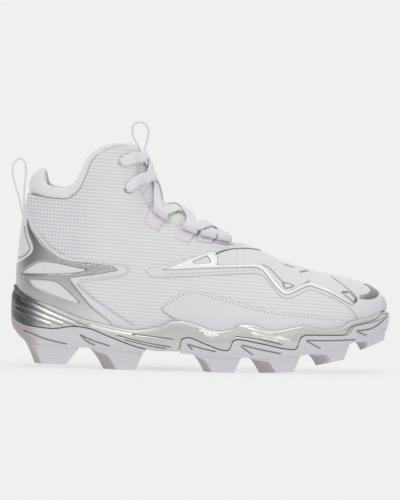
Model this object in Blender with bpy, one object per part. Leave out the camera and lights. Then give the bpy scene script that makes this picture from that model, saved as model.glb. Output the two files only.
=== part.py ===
"""Right-foot mid-cut baseball cleat, standing empty on its studs.

+X points to the toe, -Y is the lateral (outer) side, +Z is up, and the floor is Z = 0.
Every table and size below is in millimetres; MM turns them into metres as the meshes are made.
"""

import math
from collections import namedtuple

import bmesh
import bpy
from mathutils import Vector

MM = 0.001
LATERAL, MEDIAL = -1, 1

# Driving dimensions of the last and the sole
HEEL_AXIS_X = -108.0  # the heel cup fans round this upright axis
TOE_AXIS_X = 100.0  # the toe box fans round this upright axis
TOE_SWING = 5.0  # how far the ridge of the vamp lies to the medial side at the toe
WALL = 2.2  # textile, foam and lining together
GAP = 0.3  # between pieces that meet
MIDDLE_X, MIDDLE_Y = 0.4, -1.8  # middle of the shoe's box, which becomes the origin
FOOT_INSET = 6.0  # from the sole's outline in to the lower edge of the upper
RIM = 2.4  # thickness of the midsole's upper edge
HEEL_RIM = 1.6  # added to that edge at the back of the heel
WRAP = 3.0  # how far the rubber laps up round the midsole
PLATE = 4.0  # thickness of the rubber plate between the studs
PLATE_DRAFT = 2.0  # the plate's lower edge lies this far inside the outline
INSOLE = 4.0
OVERLAY = 0.8  # moulded skins on the upper
TONGUE = 5.0
LACE_WIDTH, LACE_THICK = 7.0, 1.4
LACE_LIFT, LACE_OVER, LACE_STEP = 1.1, 0.6, 0.05  # off the tongue, strand over strand, row to row
LACE_INSET = 6.5  # a strand stops this far inside the throat's edge
LACE_TURN = 1.7  # the upper strand runs on past the lower one at each side
CORD = 1.8  # diameter of the pull loops
EYELET = 4.6  # diameter of the punched eyelets

# How finely the forms are faceted
LONGEST_STEP, SHORTEST_STEP = 11.0, 2.6  # between stations along the side
HEEL_FANS, TOE_FANS = 6, 7
PROFILE_STEPS = 6
ARC_STEPS = 3


def rows(columns, *values):
    """Rows whose columns are read by name."""
    row = namedtuple("Row", columns)
    return [row(*each) for each in values]


class Table:
    """Rows of named columns, read between its rows by a curve that never overshoots them."""

    def __init__(self, columns, rows):
        self.places = [row[0] for row in rows]
        self.columns = {name: [row[i] for row in rows] for i, name in enumerate(columns)}

    def at(self, name, x):
        places, values = self.places, self.columns[name]
        if x <= places[0]:
            return values[0]
        if x >= places[-1]:
            return values[-1]
        k = max(i for i, place in enumerate(places) if place <= x)
        span = places[k + 1] - places[k]
        s = (x - places[k]) / span
        rise, run = values[k + 1] - values[k], s * s * (3 - 2 * s)
        start, end = self.slope(name, k) * span, self.slope(name, k + 1) * span
        return values[k] + rise * run + start * s * (1 - s) ** 2 - end * s * s * (1 - s)

    def slope(self, name, k):
        places, values = self.places, self.columns[name]
        if k in (0, len(places) - 1):
            return 0.0
        before = (values[k] - values[k - 1]) / (places[k] - places[k - 1])
        after = (values[k + 1] - values[k]) / (places[k + 1] - places[k])
        if before * after <= 0:
            return 0.0
        return 2 * before * after / (before + after)


# Plan of the sole: half-widths to each side of the foot's line, between the heel and toe ends
HEEL_END, TOE_END = (-150.0, 0.0), (153.0, 7.0)
PLAN_ROWS = rows(
    "x lateral medial",
    (-143, 22, 22),
    (-129, 33.5, 33),
    (-108, 38.5, 38),
    (-75, 39.5, 36),
    (-40, 41.5, 32),
    (-5, 47, 35.5),
    (30, 53, 44.5),
    (58, 54, 50),
    (85, 50.5, 50),
    (110, 42.5, 46),
    (131, 31, 39),
    (145.5, 15, 27.5),
)

# Heights along the shoe: underside of the rubber plate, and the floor of the midsole's tray
BASE = Table(
    ("x", "plate", "floor"),
    (
        (-150, 31, 38),
        (-140, 23, 36.5),
        (-128, 19, 34.5),
        (-93, 17.2, 32),
        (-60, 15.5, 29),
        (-20, 14.6, 26),
        (10, 12.8, 24),
        (35, 12.3, 23.5),
        (60, 12.8, 24),
        (82, 15, 26),
        (105, 19.5, 29),
        (121, 24.6, 33),
        (138, 29.6, 39.4),
        (152, 35, 43),
    ),
)

# The wavy upper edge of the midsole, read at the upper's own surface
TOP_EDGE = Table(
    ("x", "z"),
    (
        (-146, 66.8),
        (-141, 61.6),
        (-133, 56.2),
        (-121, 51.4),
        (-99, 43),
        (-88, 39.3),
        (-72, 35.7),
        (-50, 32.3),
        (-32, 35.2),
        (-22, 39.8),
        (-14, 40.4),
        (0, 37),
        (16, 33.1),
        (26, 35),
        (35, 39.2),
        (44, 38.6),
        (60, 34.6),
        (75, 37.4),
        (83, 39),
        (101, 36.2),
        (111, 37.6),
        (121, 43),
        (135, 46.2),
        (146, 49.6),
    ),
)

# The line where the rubber stops on the side of the midsole, with a step ahead of each stud
ARCH_REAR, ARCH_FRONT = -41.6, -14.0  # between these the rubber is left out
SPLIT = Table(
    ("x", "z"),
    (
        (-146, 42.5),
        (-140, 36.6),
        (-133, 33.4),
        (-115, 31.7),
        (-99, 33.8),
        (-88, 32.6),
        (-70, 26),
        (-50, 19),
        (-41, 16.9),
        (-33, 15.8),
        (-14.6, 15.9),
        (-13.4, 25),
        (-8.4, 27),
        (7, 21.9),
        (22, 17.6),
        (25, 18.6),
        (27.6, 25),
        (31, 26.6),
        (47, 24.3),
        (76, 19.6),
        (79, 21.8),
        (81, 28.6),
        (86, 31.2),
        (116, 31.5),
        (118.6, 34.2),
        (121, 37.8),
        (135, 41.8),
        (142, 44.6),
        (146, 48),
    ),
)

# Sections of the upper from the heel axis to the toe axis. half and z place its upper edge: the
# collar seam, then the throat, then from CLOSED_X on the ridge where both sides meet. pitch is the
# wall's slope there, reach and rise are how long it keeps its slope at the top and at the foot,
# and belly is how far it leans out over the foot.
CLOSED_X = 30.5
SECTIONS = Table(
    ("x", "half", "z", "pitch", "reach", "belly", "rise"),
    (
        (-108, 31.5, 134.4, 86, 34, 7, 34),
        (-98.4, 32, 140.3, 87, 36, 7, 34),
        (-94.4, 32, 146.5, 88, 40, 7, 34),
        (-91, 31.8, 155, 88, 44, 7, 34),
        (-88, 31.5, 163.5, 88, 48, 7, 34),
        (-84, 31, 169, 88, 50, 7, 34),
        (-77, 30, 174, 88, 52, 7, 33),
        (-69.4, 28, 177, 86, 54, 7, 33),
        (-62, 25.8, 178.4, 84, 54, 7, 32),
        (-58.4, 24.5, 176.5, 82, 52, 6.5, 32),
        (-52, 23, 161.8, 78, 46, 6, 32),
        (-48, 22.3, 141.9, 70, 38, 6, 31),
        (-40.8, 21.5, 128.4, 60, 34, 5.5, 30),
        (-23.2, 20, 116.8, 50, 30, 5, 30),
        (-4.8, 18, 108.6, 41, 26, 4, 31),
        (11.2, 14.5, 104, 30, 25, 3.5, 32),
        (24.8, 9.6, 101.2, 17, 22, 3, 33),
        (28.5, 5.2, 101.9, 8, 25, 3, 34),
        (30.5, 0, 102.4, 0, 28, 3, 34),
        (39, 0, 99.3, 0, 28, 3, 34),
        (53, 0, 93.1, 0, 28, 3, 33),
        (65, 0, 87.8, 0, 28, 3, 32),
        (76, 0, 84.5, 0, 28, 3, 31),
        (86, 0, 81.8, 0, 28, 3.5, 31),
        (100, 0, 78.6, 0, 28, 4, 30),
    ),
)
HEEL_BACK = {"half": 30.8, "z": 138.4, "pitch": 80, "reach": 40, "belly": 3, "rise": 38}
TOE_TIP = {"half": 0, "z": 78.6, "pitch": 12, "reach": 30, "belly": 7, "rise": 28}

# The tongue's ridge, from under the vamp up to its top, its half-width, and how sharply it bows
# across: at a distance y from the ridge it has fallen by bow * y * y
TONGUE_ROWS = rows(
    "x z half bow",
    (37, 96.0, 12, 0.05),
    (25, 103.4, 13, 0.1),
    (10, 111.0, 18, 0.05),
    (-13, 125.0, 22, 0.047),
    (-27, 132.4, 22.5, 0.044),
    (-34.5, 141.0, 22, 0.036),
    (-40, 153.0, 21, 0.031),
    (-44.5, 164.5, 20.5, 0.03),
    (-50.5, 174.5, 20.5, 0.029),
    (-57, 182.0, 20, 0.029),
)

# Where the lace turns on each side, from the top down; the last four are webbing loops
LACE_ROWS = rows(
    "x z held_by tail",
    (-64.0, 165.2, "eyelet", 0),
    (-58.4, 143.3, "eyelet", 0),
    (-34.4, 124.4, "loop", 12),
    (-10.4, 112.0, "loop", 11),
    (5.0, 107.6, "loop", 6),
    (18.0, 103.8, "loop", 3.5),
)
LOOP_WIDTH, LOOP_THICK, LOOP_RADIUS = 12.0, 1.1, 2.4
LOOP_LIE = 0.8  # under a loop's tail, where the upper bulges towards it
TAIL_STEP = 0.005  # of the way down the wall, while a loop's tail is measured off

# Studs of one side, by how far along the shoe each starts and ends at its root and at its tip
STUD_ROWS = rows(
    "name part rear_root rear_tip front_tip front_root rear_z front_z scoop",
    ("heel_rear", "heel", -144, -130, -104.5, -93, 3.2, 3.2, 5.4),
    ("heel_front", "heel", -92.5, -75, -49.5, -42.4, 0, 0, 10.4),
    ("fore_rear", "forefoot", -9, 5, 29, 35, 0, 0, 6),
    ("fore_middle", "forefoot", 35.6, 49, 76, 82, 0, 1.6, 13.4),
    ("fore_front", "forefoot", 83, 94, 116, 121, 6.6, 11.9, 13),
    ("toe", "forefoot", 121.8, 129.5, 148.6, 150, 19, 27, 9),
)
STUD_ROOT_INSET, STUD_TIP_INSET = 0.6, 2.0  # from the plate's edge in to the stud's outer face
STUD_ROOT_DEPTH, STUD_TIP_DEPTH = 24.0, 12.0  # across the shoe
STUD_SINK = 1.0  # the root starts this far up inside the plate
STUD_HOLLOW = 0.6  # power that hollows the rear face
STUD_TWIST = 0.3  # of the stud's height, over which its rear face turns to its full scoop
STUD_LEVELS, STUD_COLUMNS_ALONG = 4, 4

# Outlines of the moulded skins seen from the side: x, z and the corner's radius
HEEL_SKIN = (
    (-138.3, 117.6, 1),
    (-134, 109, 6),
    (-121, 94.6, 20),
    (-107, 87.6, 20),
    (-80, 83.4, 10),
    (-68.8, 82.4, 3),
    (-64.8, 78.6, 1.5),
    (-80, 76.2, 8),
    (-103, 71.4, 2),
    (-94.6, 62, 6),
    (-82.4, 50.4, 8),
)
HEEL_SKIN_BACK = (
    (-160, 73, 1),
    (-160, 82, 1),
    (-145.2, 81.6, 4),
    (-142, 84.6, 4),
    (-133.2, 90.6, 4),
    (-132.4, 95, 3),
    (-137, 106.5, 6),
)
HEEL_WINDOWS = (
    ((-141.6, 75, 1), (-134, 81, 6), (-125, 85.4, 4), (-104.6, 80.4, 10), (-89, 78.4, 1), (-105, 76, 8)),
    ((-135.6, 70.6, 1), (-116, 69.4, 4), (-111, 67, 3), (-96.4, 53.4, 1), (-100, 52.4, 2), (-131, 64.4, 3)),
)
VAMP_SKIN = (
    (-43, 82.4, 2),
    (-40, 74.4, 3),
    (0, 75, 10),
    (39, 78.6, 6),
    (48.4, 78.2, 5),
    (55, 72, 6),
    (63, 62.6, 6),
    (70.6, 58.8, 5),
    (78, 62, 5),
    (86.4, 66.4, 5),
    (104, 61.2, 8),
    (116, 55.6, 6),
    (124, 47, 3),
)
VAMP_SKIN_TOP = (
    (160, 120, 1),
    (37, 120, 1),
    (34, 99.4, 4),
    (17, 96.6, 10),
    (4.6, 94, 6),
    (-13, 88.6, 10),
)
# The silver trim: its centre line seen from the side, and its width there
TRIM_ROWS = rows(
    "x z width",
    (-30, 80.6, 1.2),
    (-14, 82.6, 5.2),
    (2, 83.4, 5.6),
    (14, 81.8, 3.6),
    (42, 82.6, 3.2),
    (51, 79.4, 3.4),
    (59, 70.6, 3.6),
    (66.4, 63.4, 3.6),
    (71, 62.4, 3.2),
    (79, 66.6, 3.2),
    (87, 70.2, 3.2),
    (104, 64.6, 3.4),
    (115, 59, 3.2),
    (121, 55, 1.4),
)
BUMPER = ((146, 51.4, 1), (160, 51.4, 0), (160, 64, 0), (146, 64, 2))
SKIN_CLEAR = 0.8  # the skins stop this far above the midsole's edge, and round the bumper

# The padded cuff on the collar: its height above the seam and its thickness, along the shoe
CUFF = Table(
    ("x", "height", "thick"),
    (
        (-139, 18, 8.5),
        (-132, 20.5, 8.5),
        (-125, 13, 8),
        (-119, 9.6, 7.8),
        (-112, 9, 7.5),
        (-103, 8.4, 7),
        (-96, 7, 6),
        (-90, 5, 5),
        (-84, 4, 4.4),
        (-70, 3.2, 4),
    ),
)
CUFF_END_X = -68.0
CUFF_SIDES = 8
CUFF_SQUARE = 0.7  # power that squares the cuff's oval section

# Pull loops, as points in the shoe's middle plane
HEEL_PULL = (
    (-143.8, 125.5),
    (-145.4, 134),
    (-149, 145),
    (-151.4, 155),
    (-150, 162.5),
    (-145.4, 165.6),
    (-141.4, 162),
    (-140.6, 154.5),
    (-141.4, 144),
    (-141.7, 134),
    (-141.7, 127.5),
)
TONGUE_PULL = (
    (-58.1, 182.3),
    (-57.2, 189),
    (-55.8, 194.4),
    (-50.6, 197.2),
    (-45.4, 194.4),
    (-43.6, 188.6),
    (-44.4, 182),
    (-46.2, 177),
)

# Colours and finishes: base colour, roughness, metallic
FINISHES = {
    "white_textile": ((0.80, 0.80, 0.82), 0.85, 0.0),
    "white_skin": ((0.82, 0.82, 0.84), 0.45, 0.0),
    "lining": ((0.82, 0.82, 0.82), 0.9, 0.0),
    "lace_white": ((0.86, 0.86, 0.89), 0.8, 0.0),
    "silver_skin": ((0.50, 0.50, 0.51), 0.35, 0.8),
    "silver_midsole": ((0.62, 0.61, 0.60), 0.38, 0.8),
    "pale_rubber": ((0.74, 0.72, 0.74), 0.55, 0.0),
}

Station = namedtuple("Station", "index side end turn x y ux uy sole")


def mix(a, b, share):
    return a + (b - a) * share


def smooth_line(points, closed=False, per_span=6):
    """Points on a smooth curve through the given points (a Catmull-Rom spline)."""
    count = len(points)
    made = []
    for k in range(count if closed else count - 1):
        if closed:
            a, b, c, d = (points[(k + j) % count] for j in (-1, 0, 1, 2))
        else:
            a, b, c, d = (points[min(max(k + j, 0), count - 1)] for j in (-1, 0, 1, 2))
        for step in range(per_span):
            s = step / per_span
            weights = (
                -0.5 * s + s * s - 0.5 * s**3,
                1 - 2.5 * s * s + 1.5 * s**3,
                0.5 * s + 2 * s * s - 1.5 * s**3,
                -0.5 * s * s + 0.5 * s**3,
            )
            made.append(tuple(sum(w * p[i] for w, p in zip(weights, (a, b, c, d))) for i in range(len(a))))
    if not closed:
        made.append(tuple(points[-1]))
    return made


def rounded(corners):
    """A closed outline with each corner (x, z, radius) turned by an arc-like bend."""
    made = []
    for k, (x, z, radius) in enumerate(corners):
        if not radius:
            made.append((x, z))
            continue
        here = Vector((x, z))
        before, after = Vector(corners[k - 1][:2]), Vector(corners[(k + 1) % len(corners)][:2])
        reach = min(radius, 0.45 * (before - here).length, 0.45 * (after - here).length)
        start = here + (before - here).normalized() * reach
        end = here + (after - here).normalized() * reach
        for step in range(ARC_STEPS):
            s = step / (ARC_STEPS - 1)
            made.append(tuple(start * (1 - s) ** 2 + here * 2 * s * (1 - s) + end * s * s))
    return made


# The plan outline and the stations round it


def foot_line(x):
    """Y of the shoe's ridge: straight from the heel, then swinging to the medial side."""
    share = min(max((x + 50) / 150, 0), 1)
    return TOE_SWING * share * share * (3 - 2 * share)


def plan_outline():
    lateral = [(row.x, -row.lateral) for row in PLAN_ROWS]
    medial = [(row.x, row.medial) for row in PLAN_ROWS]
    return smooth_line([HEEL_END, *lateral, TOE_END, *reversed(medial)], closed=True, per_span=10)


OUTLINE = plan_outline()


def distance_to_outline(x, y, ux, uy):
    """How far the sole's outline lies from (x, y) in the direction (ux, uy)."""
    furthest = 0.0
    for (ax, ay), (bx, by) in zip(OUTLINE, OUTLINE[1:] + OUTLINE[:1]):
        ex, ey = bx - ax, by - ay
        cross = ux * ey - uy * ex
        if abs(cross) < 1e-9:
            continue
        along = ((ax - x) * ey - (ay - y) * ex) / cross
        share = ((ax - x) * uy - (ay - y) * ux) / cross
        if along > 0 and 0 <= share <= 1:
            furthest = max(furthest, along)
    return furthest


def station(index, side, x, end="", turn=0.0):
    """An upright half-plane from the foot's line out to one side, swung by turn to the heel or toe."""
    ux = {"heel": -math.sin(turn), "toe": math.sin(turn), "": 0.0}[end]
    uy = side * math.cos(turn)
    y = foot_line(x)
    return Station(index, side, end, turn, x, y, ux, uy, distance_to_outline(x, y, ux, uy))


def side_places(tables, kept=()):
    """Where stations stand along the side: at the rows of the given tables and between them."""
    marks = {HEEL_AXIS_X, TOE_AXIS_X, *kept}
    for table in tables:
        marks |= {x for x in table.places if HEEL_AXIS_X < x < TOE_AXIS_X}
    places = []
    for x in sorted(marks):
        if places and x - places[-1] < SHORTEST_STEP and x not in (*kept, TOE_AXIS_X):
            continue
        if places:
            pieces = math.ceil((x - places[-1]) / LONGEST_STEP)
            first = places[-1]
            places += [mix(first, x, k / pieces) for k in range(1, pieces)]
        places.append(x)
    return places


def half_round(side, side_xs):
    """The stations of one side, from the back of the heel to the tip of the toe."""
    quarter = math.pi / 2
    places = [("heel", HEEL_AXIS_X, quarter * k / HEEL_FANS) for k in range(HEEL_FANS, 0, -1)]
    places += [("", x, 0.0) for x in side_xs]
    places += [("toe", TOE_AXIS_X, quarter * k / TOE_FANS) for k in range(1, TOE_FANS + 1)]
    return [station(k, side, x, end, turn) for k, (end, x, turn) in enumerate(places)]


def whole_round(side_xs):
    """All stations in order: the lateral side from heel to toe, then the medial side back."""
    lateral, medial = half_round(LATERAL, side_xs), half_round(MEDIAL, side_xs)
    return lateral + medial[-2:0:-1]


def place(s, radius, z):
    return (s.x + s.ux * radius, s.y + s.uy * radius, z)


def surface_x(s):
    """X near the upper's surface at this station, where the wavy edges are read."""
    return s.x + s.ux * (s.sole - FOOT_INSET)


# The upper's own form


def section_values(s):
    """The columns of SECTIONS at this station, passing into the heel's or the toe's own values."""
    names = ("half", "z", "pitch", "reach", "belly", "rise")
    values = {name: SECTIONS.at(name, s.x) for name in names}
    if s.end:
        tip = HEEL_BACK if s.end == "heel" else TOE_TIP
        share = math.sin(s.turn) ** 2
        values = {name: mix(values[name], tip[name], share) for name in names}
    return values


def profile(s):
    """Four control points (radius, z) of the upper's wall at a station, from its lower edge up."""
    v = section_values(s)
    foot = (s.sole - FOOT_INSET, BASE.at("floor", surface_x(s)))
    edge = (v["half"], v["z"])
    pitch = math.radians(v["pitch"])
    lean = (foot[0] + v["belly"], foot[1] + v["rise"])
    crown = (edge[0] + v["reach"] * math.cos(pitch), edge[1] - v["reach"] * math.sin(pitch))
    return foot, lean, crown, edge


def wall_at(s, t):
    """(radius, z) on the upper's outer face, t running from 0 at its lower edge to 1 at its upper edge."""
    weights = ((1 - t) ** 3, 3 * t * (1 - t) ** 2, 3 * t * t * (1 - t), t**3)
    return tuple(sum(w * p[i] for w, p in zip(weights, profile(s))) for i in (0, 1))


def share_at_height(s, z):
    low, high = 0.0, 1.0
    for _ in range(24):
        middle = (low + high) / 2
        low, high = (middle, high) if wall_at(s, middle)[1] < z else (low, middle)
    return low


def upper_radius(s, z):
    return wall_at(s, share_at_height(s, z))[0]


# Making objects


def material(name):
    made = bpy.data.materials.get(name)
    if made:
        return made
    made = bpy.data.materials.new(name)
    made.use_nodes = True
    colour, roughness, metallic = FINISHES[name]
    shader = made.node_tree.nodes["Principled BSDF"]
    shader.inputs["Base Color"].default_value = (*colour, 1)
    shader.inputs["Roughness"].default_value = roughness
    shader.inputs["Metallic"].default_value = metallic
    return made


def add_object(name, data, finish):
    obj = bpy.data.objects.new(name, data)
    bpy.context.scene.collection.objects.link(obj)
    obj.data.materials.append(material(finish))
    return obj


def object_from(name, bm, finish, sharp=35):
    mesh = bpy.data.meshes.new(name)
    bm.to_mesh(mesh)
    bm.free()
    mesh.shade_smooth()
    mesh.set_sharp_from_angle(angle=math.radians(sharp))
    return add_object(name, mesh, finish)


def as_cutter(obj):
    obj.hide_render = True
    obj.display_type = "WIRE"
    return obj


def boolean(obj, operation, other):
    modifier = obj.modifiers.new(f"{operation.lower()}_{other.name}", "BOOLEAN")
    modifier.operation = operation
    modifier.object = as_cutter(other)


def metres(point):
    x, y, z = point
    return ((x - MIDDLE_X) * MM, (y - MIDDLE_Y) * MM, z * MM)


def close_up(bm):
    """Welds points that fell together and turns the faces of a closed skin outwards."""
    bmesh.ops.remove_doubles(bm, verts=bm.verts, dist=0.00001)
    bmesh.ops.dissolve_degenerate(bm, edges=bm.edges, dist=0.00001)
    bmesh.ops.recalc_face_normals(bm, faces=bm.faces)
    if bm.calc_volume(signed=True) < 0:
        bmesh.ops.reverse_faces(bm, faces=bm.faces)


def bridge(bm, first, second, closed=True):
    count = len(first)
    for k in range(count if closed else count - 1):
        n = (k + 1) % count
        bm.faces.new((first[k], first[n], second[n], second[k]))


def rungs(bm, loop, ring):
    """Closes a ring round the shoe with faces across it, between stations of equal index."""
    sides = {LATERAL: {}, MEDIAL: {}}
    for s, vert in zip(loop, ring):
        sides[s.side][s.index] = vert
    lateral = sides[LATERAL]
    for k in sorted(lateral)[:-1]:
        medial = [sides[MEDIAL].get(i, lateral[i]) for i in (k, k + 1)]
        corners = dict.fromkeys((lateral[k], lateral[k + 1], medial[1], medial[0]))
        bm.faces.new(list(corners))


def ring_solid(name, loop, rings, finish):
    """A closed solid from rings of points round the shoe, the first and last closed across."""
    bm = bmesh.new()
    made = [[bm.verts.new(metres(point)) for point in ring] for ring in rings]
    for lower, upper in zip(made, made[1:]):
        bridge(bm, lower, upper)
    rungs(bm, loop, made[0])
    rungs(bm, loop, made[-1])
    close_up(bm)
    return object_from(name, bm, finish)


def section_solid(name, sections, finish, sharp=35):
    """A closed solid through closed sections of equal count, capped at both ends."""
    bm = bmesh.new()
    made = [[bm.verts.new(metres(point)) for point in section] for section in sections]
    for first, second in zip(made, made[1:]):
        bridge(bm, first, second)
    bm.faces.new(made[0])
    bm.faces.new(made[-1])
    close_up(bm)
    return object_from(name, bm, finish, sharp)


def side_prism(name, outline, low_y=-90.0, high_y=90.0):
    """A cutter: an outline drawn from the side, carried right across the shoe."""
    sections = [[(x, y, z) for x, z in outline] for y in (low_y, high_y)]
    return as_cutter(section_solid(name, sections, "white_skin"))


# The upper and the skins on it


def upper_face(loop, lift=0.0):
    """The upper's outer face as an open sheet, or the same facets lifted off it along its normals."""
    bm = bmesh.new()
    shares = [k / PROFILE_STEPS for k in range(PROFILE_STEPS + 1)]
    columns = [[bm.verts.new(metres(place(s, *wall_at(s, t)))) for t in shares] for s in loop]
    for first, second in zip(columns, columns[1:] + columns[:1]):
        for k in range(PROFILE_STEPS):
            bm.faces.new((first[k], second[k], second[k + 1], first[k + 1]))
    bmesh.ops.remove_doubles(bm, verts=bm.verts, dist=0.00001)
    bmesh.ops.dissolve_degenerate(bm, edges=bm.edges, dist=0.00001)
    bmesh.ops.triangulate(bm, faces=bm.faces, quad_method="FIXED")
    bm.normal_update()
    moves = [(vert, vert.normal * lift * MM) for vert in bm.verts]
    for vert, move in moves:
        vert.co += move
    return bm


def thicken(obj, thickness, outwards):
    modifier = obj.modifiers.new("wall", "SOLIDIFY")
    modifier.thickness = thickness * MM
    modifier.offset = 1 if outwards else -1
    modifier.use_even_offset = True


def make_upper(loop):
    upper = object_from("upper", upper_face(loop), "white_textile")
    thicken(upper, WALL, outwards=False)
    for k, (x, z, held_by, _) in enumerate(LACE_ROWS):
        if held_by == "eyelet":
            circle = [(x + EYELET / 2 * math.cos(a), z + EYELET / 2 * math.sin(a)) for a in turns(10)]
            boolean(upper, "DIFFERENCE", side_prism(f"eyelet_cutter_{k}", circle))


def turns(count):
    return [2 * math.pi * k / count for k in range(count)]


def skin(name, loop, outline, finish, level=0, sides=(-90.0, 90.0)):
    """A moulded skin: the layer between two lifted copies of the upper's face, inside an outline."""
    lift = GAP + level * (OVERLAY + GAP)
    obj = object_from(name, upper_face(loop, lift), finish)
    thicken(obj, OVERLAY, outwards=True)
    boolean(obj, "INTERSECT", side_prism(f"{name}_outline", outline, *sides))
    return obj


def along_top_edge(first_x, last_x, count=8):
    """A lower border that runs just above the midsole's wavy edge."""
    xs = [mix(first_x, last_x, k / (count - 1)) for k in range(count)]
    return tuple((x, TOP_EDGE.at("z", x) + SKIN_CLEAR, 0) for x in xs)


def make_heel_skin(loop):
    outline = HEEL_SKIN + along_top_edge(-69, -146) + HEEL_SKIN_BACK
    heel = skin("heel_counter_skin", loop, rounded(outline), "silver_skin")
    for k, window in enumerate(HEEL_WINDOWS):
        boolean(heel, "DIFFERENCE", side_prism(f"heel_window_{k}", rounded(window)))


def make_vamp_skin(loop):
    rear_x, top_z = BUMPER[0][0] - SKIN_CLEAR / 2, BUMPER[-1][1] + SKIN_CLEAR
    toe = along_top_edge(126, rear_x, 3)
    bumper_notch = ((rear_x, top_z, 1), (BUMPER[1][0], top_z, 0))
    skin("vamp_skin", loop, rounded(VAMP_SKIN + toe + bumper_notch + VAMP_SKIN_TOP), "white_skin")
    skin("toe_bumper", loop, rounded(BUMPER), "pale_rubber")


def trim_outline():
    line = smooth_line(TRIM_ROWS, per_span=2)
    above, below = [], []
    for k, (x, z, width) in enumerate(line):
        ax, az = line[max(k - 1, 0)][:2]
        bx, bz = line[min(k + 1, len(line) - 1)][:2]
        length = math.hypot(bx - ax, bz - az)
        nx, nz = -(bz - az) / length * width / 2, (bx - ax) / length * width / 2
        above.append((x + nx, z + nz))
        below.append((x - nx, z - nz))
    return above + below[::-1]


def make_trim(loop):
    for name, sides in (("lateral", (-90.0, 0.0)), ("medial", (8.0, 90.0))):
        skin(f"vamp_trim_{name}", loop, trim_outline(), "silver_skin", 1, sides)


# The sole


def plate_under(s):
    """Underside of the rubber plate at its edge."""
    return BASE.at("plate", s.x + s.ux * (s.sole - PLATE_DRAFT))


def plate_top(s):
    return min(plate_under(s) + PLATE, SPLIT.at("z", surface_x(s)) - 2 * GAP)


def rim(s):
    return RIM + (HEEL_RIM * math.sin(s.turn) ** 2 if s.end == "heel" else 0)


def side_radius(s, z):
    """The sole's side: widest at the rubber's edge, drawing in to the midsole's rim above it."""
    x = surface_x(s)
    low, high = SPLIT.at("z", x), max(TOP_EDGE.at("z", x), SPLIT.at("z", x) + 1.2)
    rim_radius = upper_radius(s, high) + GAP + rim(s)
    share = min(max((z - low) / (high - low), 0), 1)
    return mix(s.sole, rim_radius, share * share)


def make_midsole(loop):
    """A tray that the upper stands in, with a core that fills the rubber below."""
    rings = [[] for _ in range(8)]
    for s in loop:
        x = surface_x(s)
        split = SPLIT.at("z", x) + GAP / 2
        top = max(TOP_EDGE.at("z", x), split + 1.0)
        floor = BASE.at("floor", x) - GAP
        bare = ARCH_REAR + GAP < x < ARCH_FRONT - GAP
        core = split if bare else plate_top(s) + GAP
        inner = s.sole - WRAP - GAP
        rings[0].append(place(s, inner, core))
        rings[1].append(place(s, inner, split))
        for ring, share in zip(rings[2:4], (0, 0.6)):
            z = mix(split, top, share)
            ring.append(place(s, side_radius(s, z), z))
        rings[4].append(place(s, upper_radius(s, top) + GAP + rim(s) * 0.8, top))
        rings[5].append(place(s, upper_radius(s, top) + GAP, top))
        middle = mix(floor, top, 0.5)
        rings[6].append(place(s, upper_radius(s, middle) + GAP, middle))
        rings[7].append(place(s, s.sole - FOOT_INSET + GAP, floor))
    ring_solid("midsole", loop, rings, "silver_midsole")


def stud_outer(x, side, inset):
    y = foot_line(x)
    return y + side * (distance_to_outline(x, y, 0, side) - PLATE_DRAFT - inset)


def stud_height(stud, x, h):
    along = (x - stud.rear_tip) / (stud.front_tip - stud.rear_tip)
    tip = mix(stud.rear_z, stud.front_z, min(max(along, 0), 1))
    return mix(BASE.at("plate", x) + STUD_SINK, tip, h)


def make_stud(stud, side):
    """One moulded stud, hollowed behind and drafted to its tip, its outer face along the sole's side."""
    sections = []
    for level in range(STUD_LEVELS):
        h = level / (STUD_LEVELS - 1)
        rear = mix(stud.rear_root, stud.rear_tip, h**STUD_HOLLOW)
        front = mix(stud.front_root, stud.front_tip, h)
        inset = mix(STUD_ROOT_INSET, STUD_TIP_INSET, h)
        depth = mix(STUD_ROOT_DEPTH, STUD_TIP_DEPTH, h)
        twist = stud.scoop * min(h / STUD_TWIST, 1)
        outer, inner = [], []
        for k in range(STUD_COLUMNS_ALONG):
            share = k / (STUD_COLUMNS_ALONG - 1)
            x = mix(rear + twist, front, share)
            outer.append((x, stud_outer(x, side, inset), stud_height(stud, x, h)))
            x = mix(rear, front, share)
            middle = foot_line(x) + side * 1.5
            back = stud_outer(x, side, inset) - side * depth
            back = max(back, middle) if side == MEDIAL else min(back, middle)
            inner.append((x, back, stud_height(stud, x, h)))
        sections.append(outer + inner[::-1])
    word = "lateral" if side == LATERAL else "medial"
    return section_solid(f"stud_{stud.name}_{word}", sections, "pale_rubber")


def make_outsole(part, loop):
    """One moulded rubber unit: a plate that laps up round the midsole, with its studs."""
    if part == "heel":
        own = [s for s in loop if surface_x(s) <= ARCH_REAR]
    else:
        own = [s for s in loop if surface_x(s) >= ARCH_FRONT]
    rings = [[] for _ in range(5)]
    for s in own:
        x = surface_x(s)
        split = SPLIT.at("z", x) - GAP / 2
        plate = plate_under(s)
        rings[0].append(place(s, s.sole - PLATE_DRAFT, plate))
        rings[1].append(place(s, s.sole - PLATE_DRAFT * 0.25, mix(plate, split, 0.4)))
        rings[2].append(place(s, s.sole, split))
        rings[3].append(place(s, s.sole - WRAP, split))
        rings[4].append(place(s, s.sole - WRAP, plate_top(s)))
    outsole = ring_solid(f"outsole_{part}", own, rings, "pale_rubber")
    for stud in STUD_ROWS:
        if stud.part == part:
            for side in (LATERAL, MEDIAL):
                boolean(outsole, "UNION", make_stud(stud, side))


def make_insole(loop):
    rings = [[], []]
    for s in loop:
        floor = BASE.at("floor", surface_x(s))
        radius = s.sole - FOOT_INSET - WALL - GAP
        rings[0].append(place(s, radius - 1, floor))
        rings[1].append(place(s, radius, floor + INSOLE))
    ring_solid("insole", loop, rings, "lining")


# Tongue, cuff, laces and loops


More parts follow.
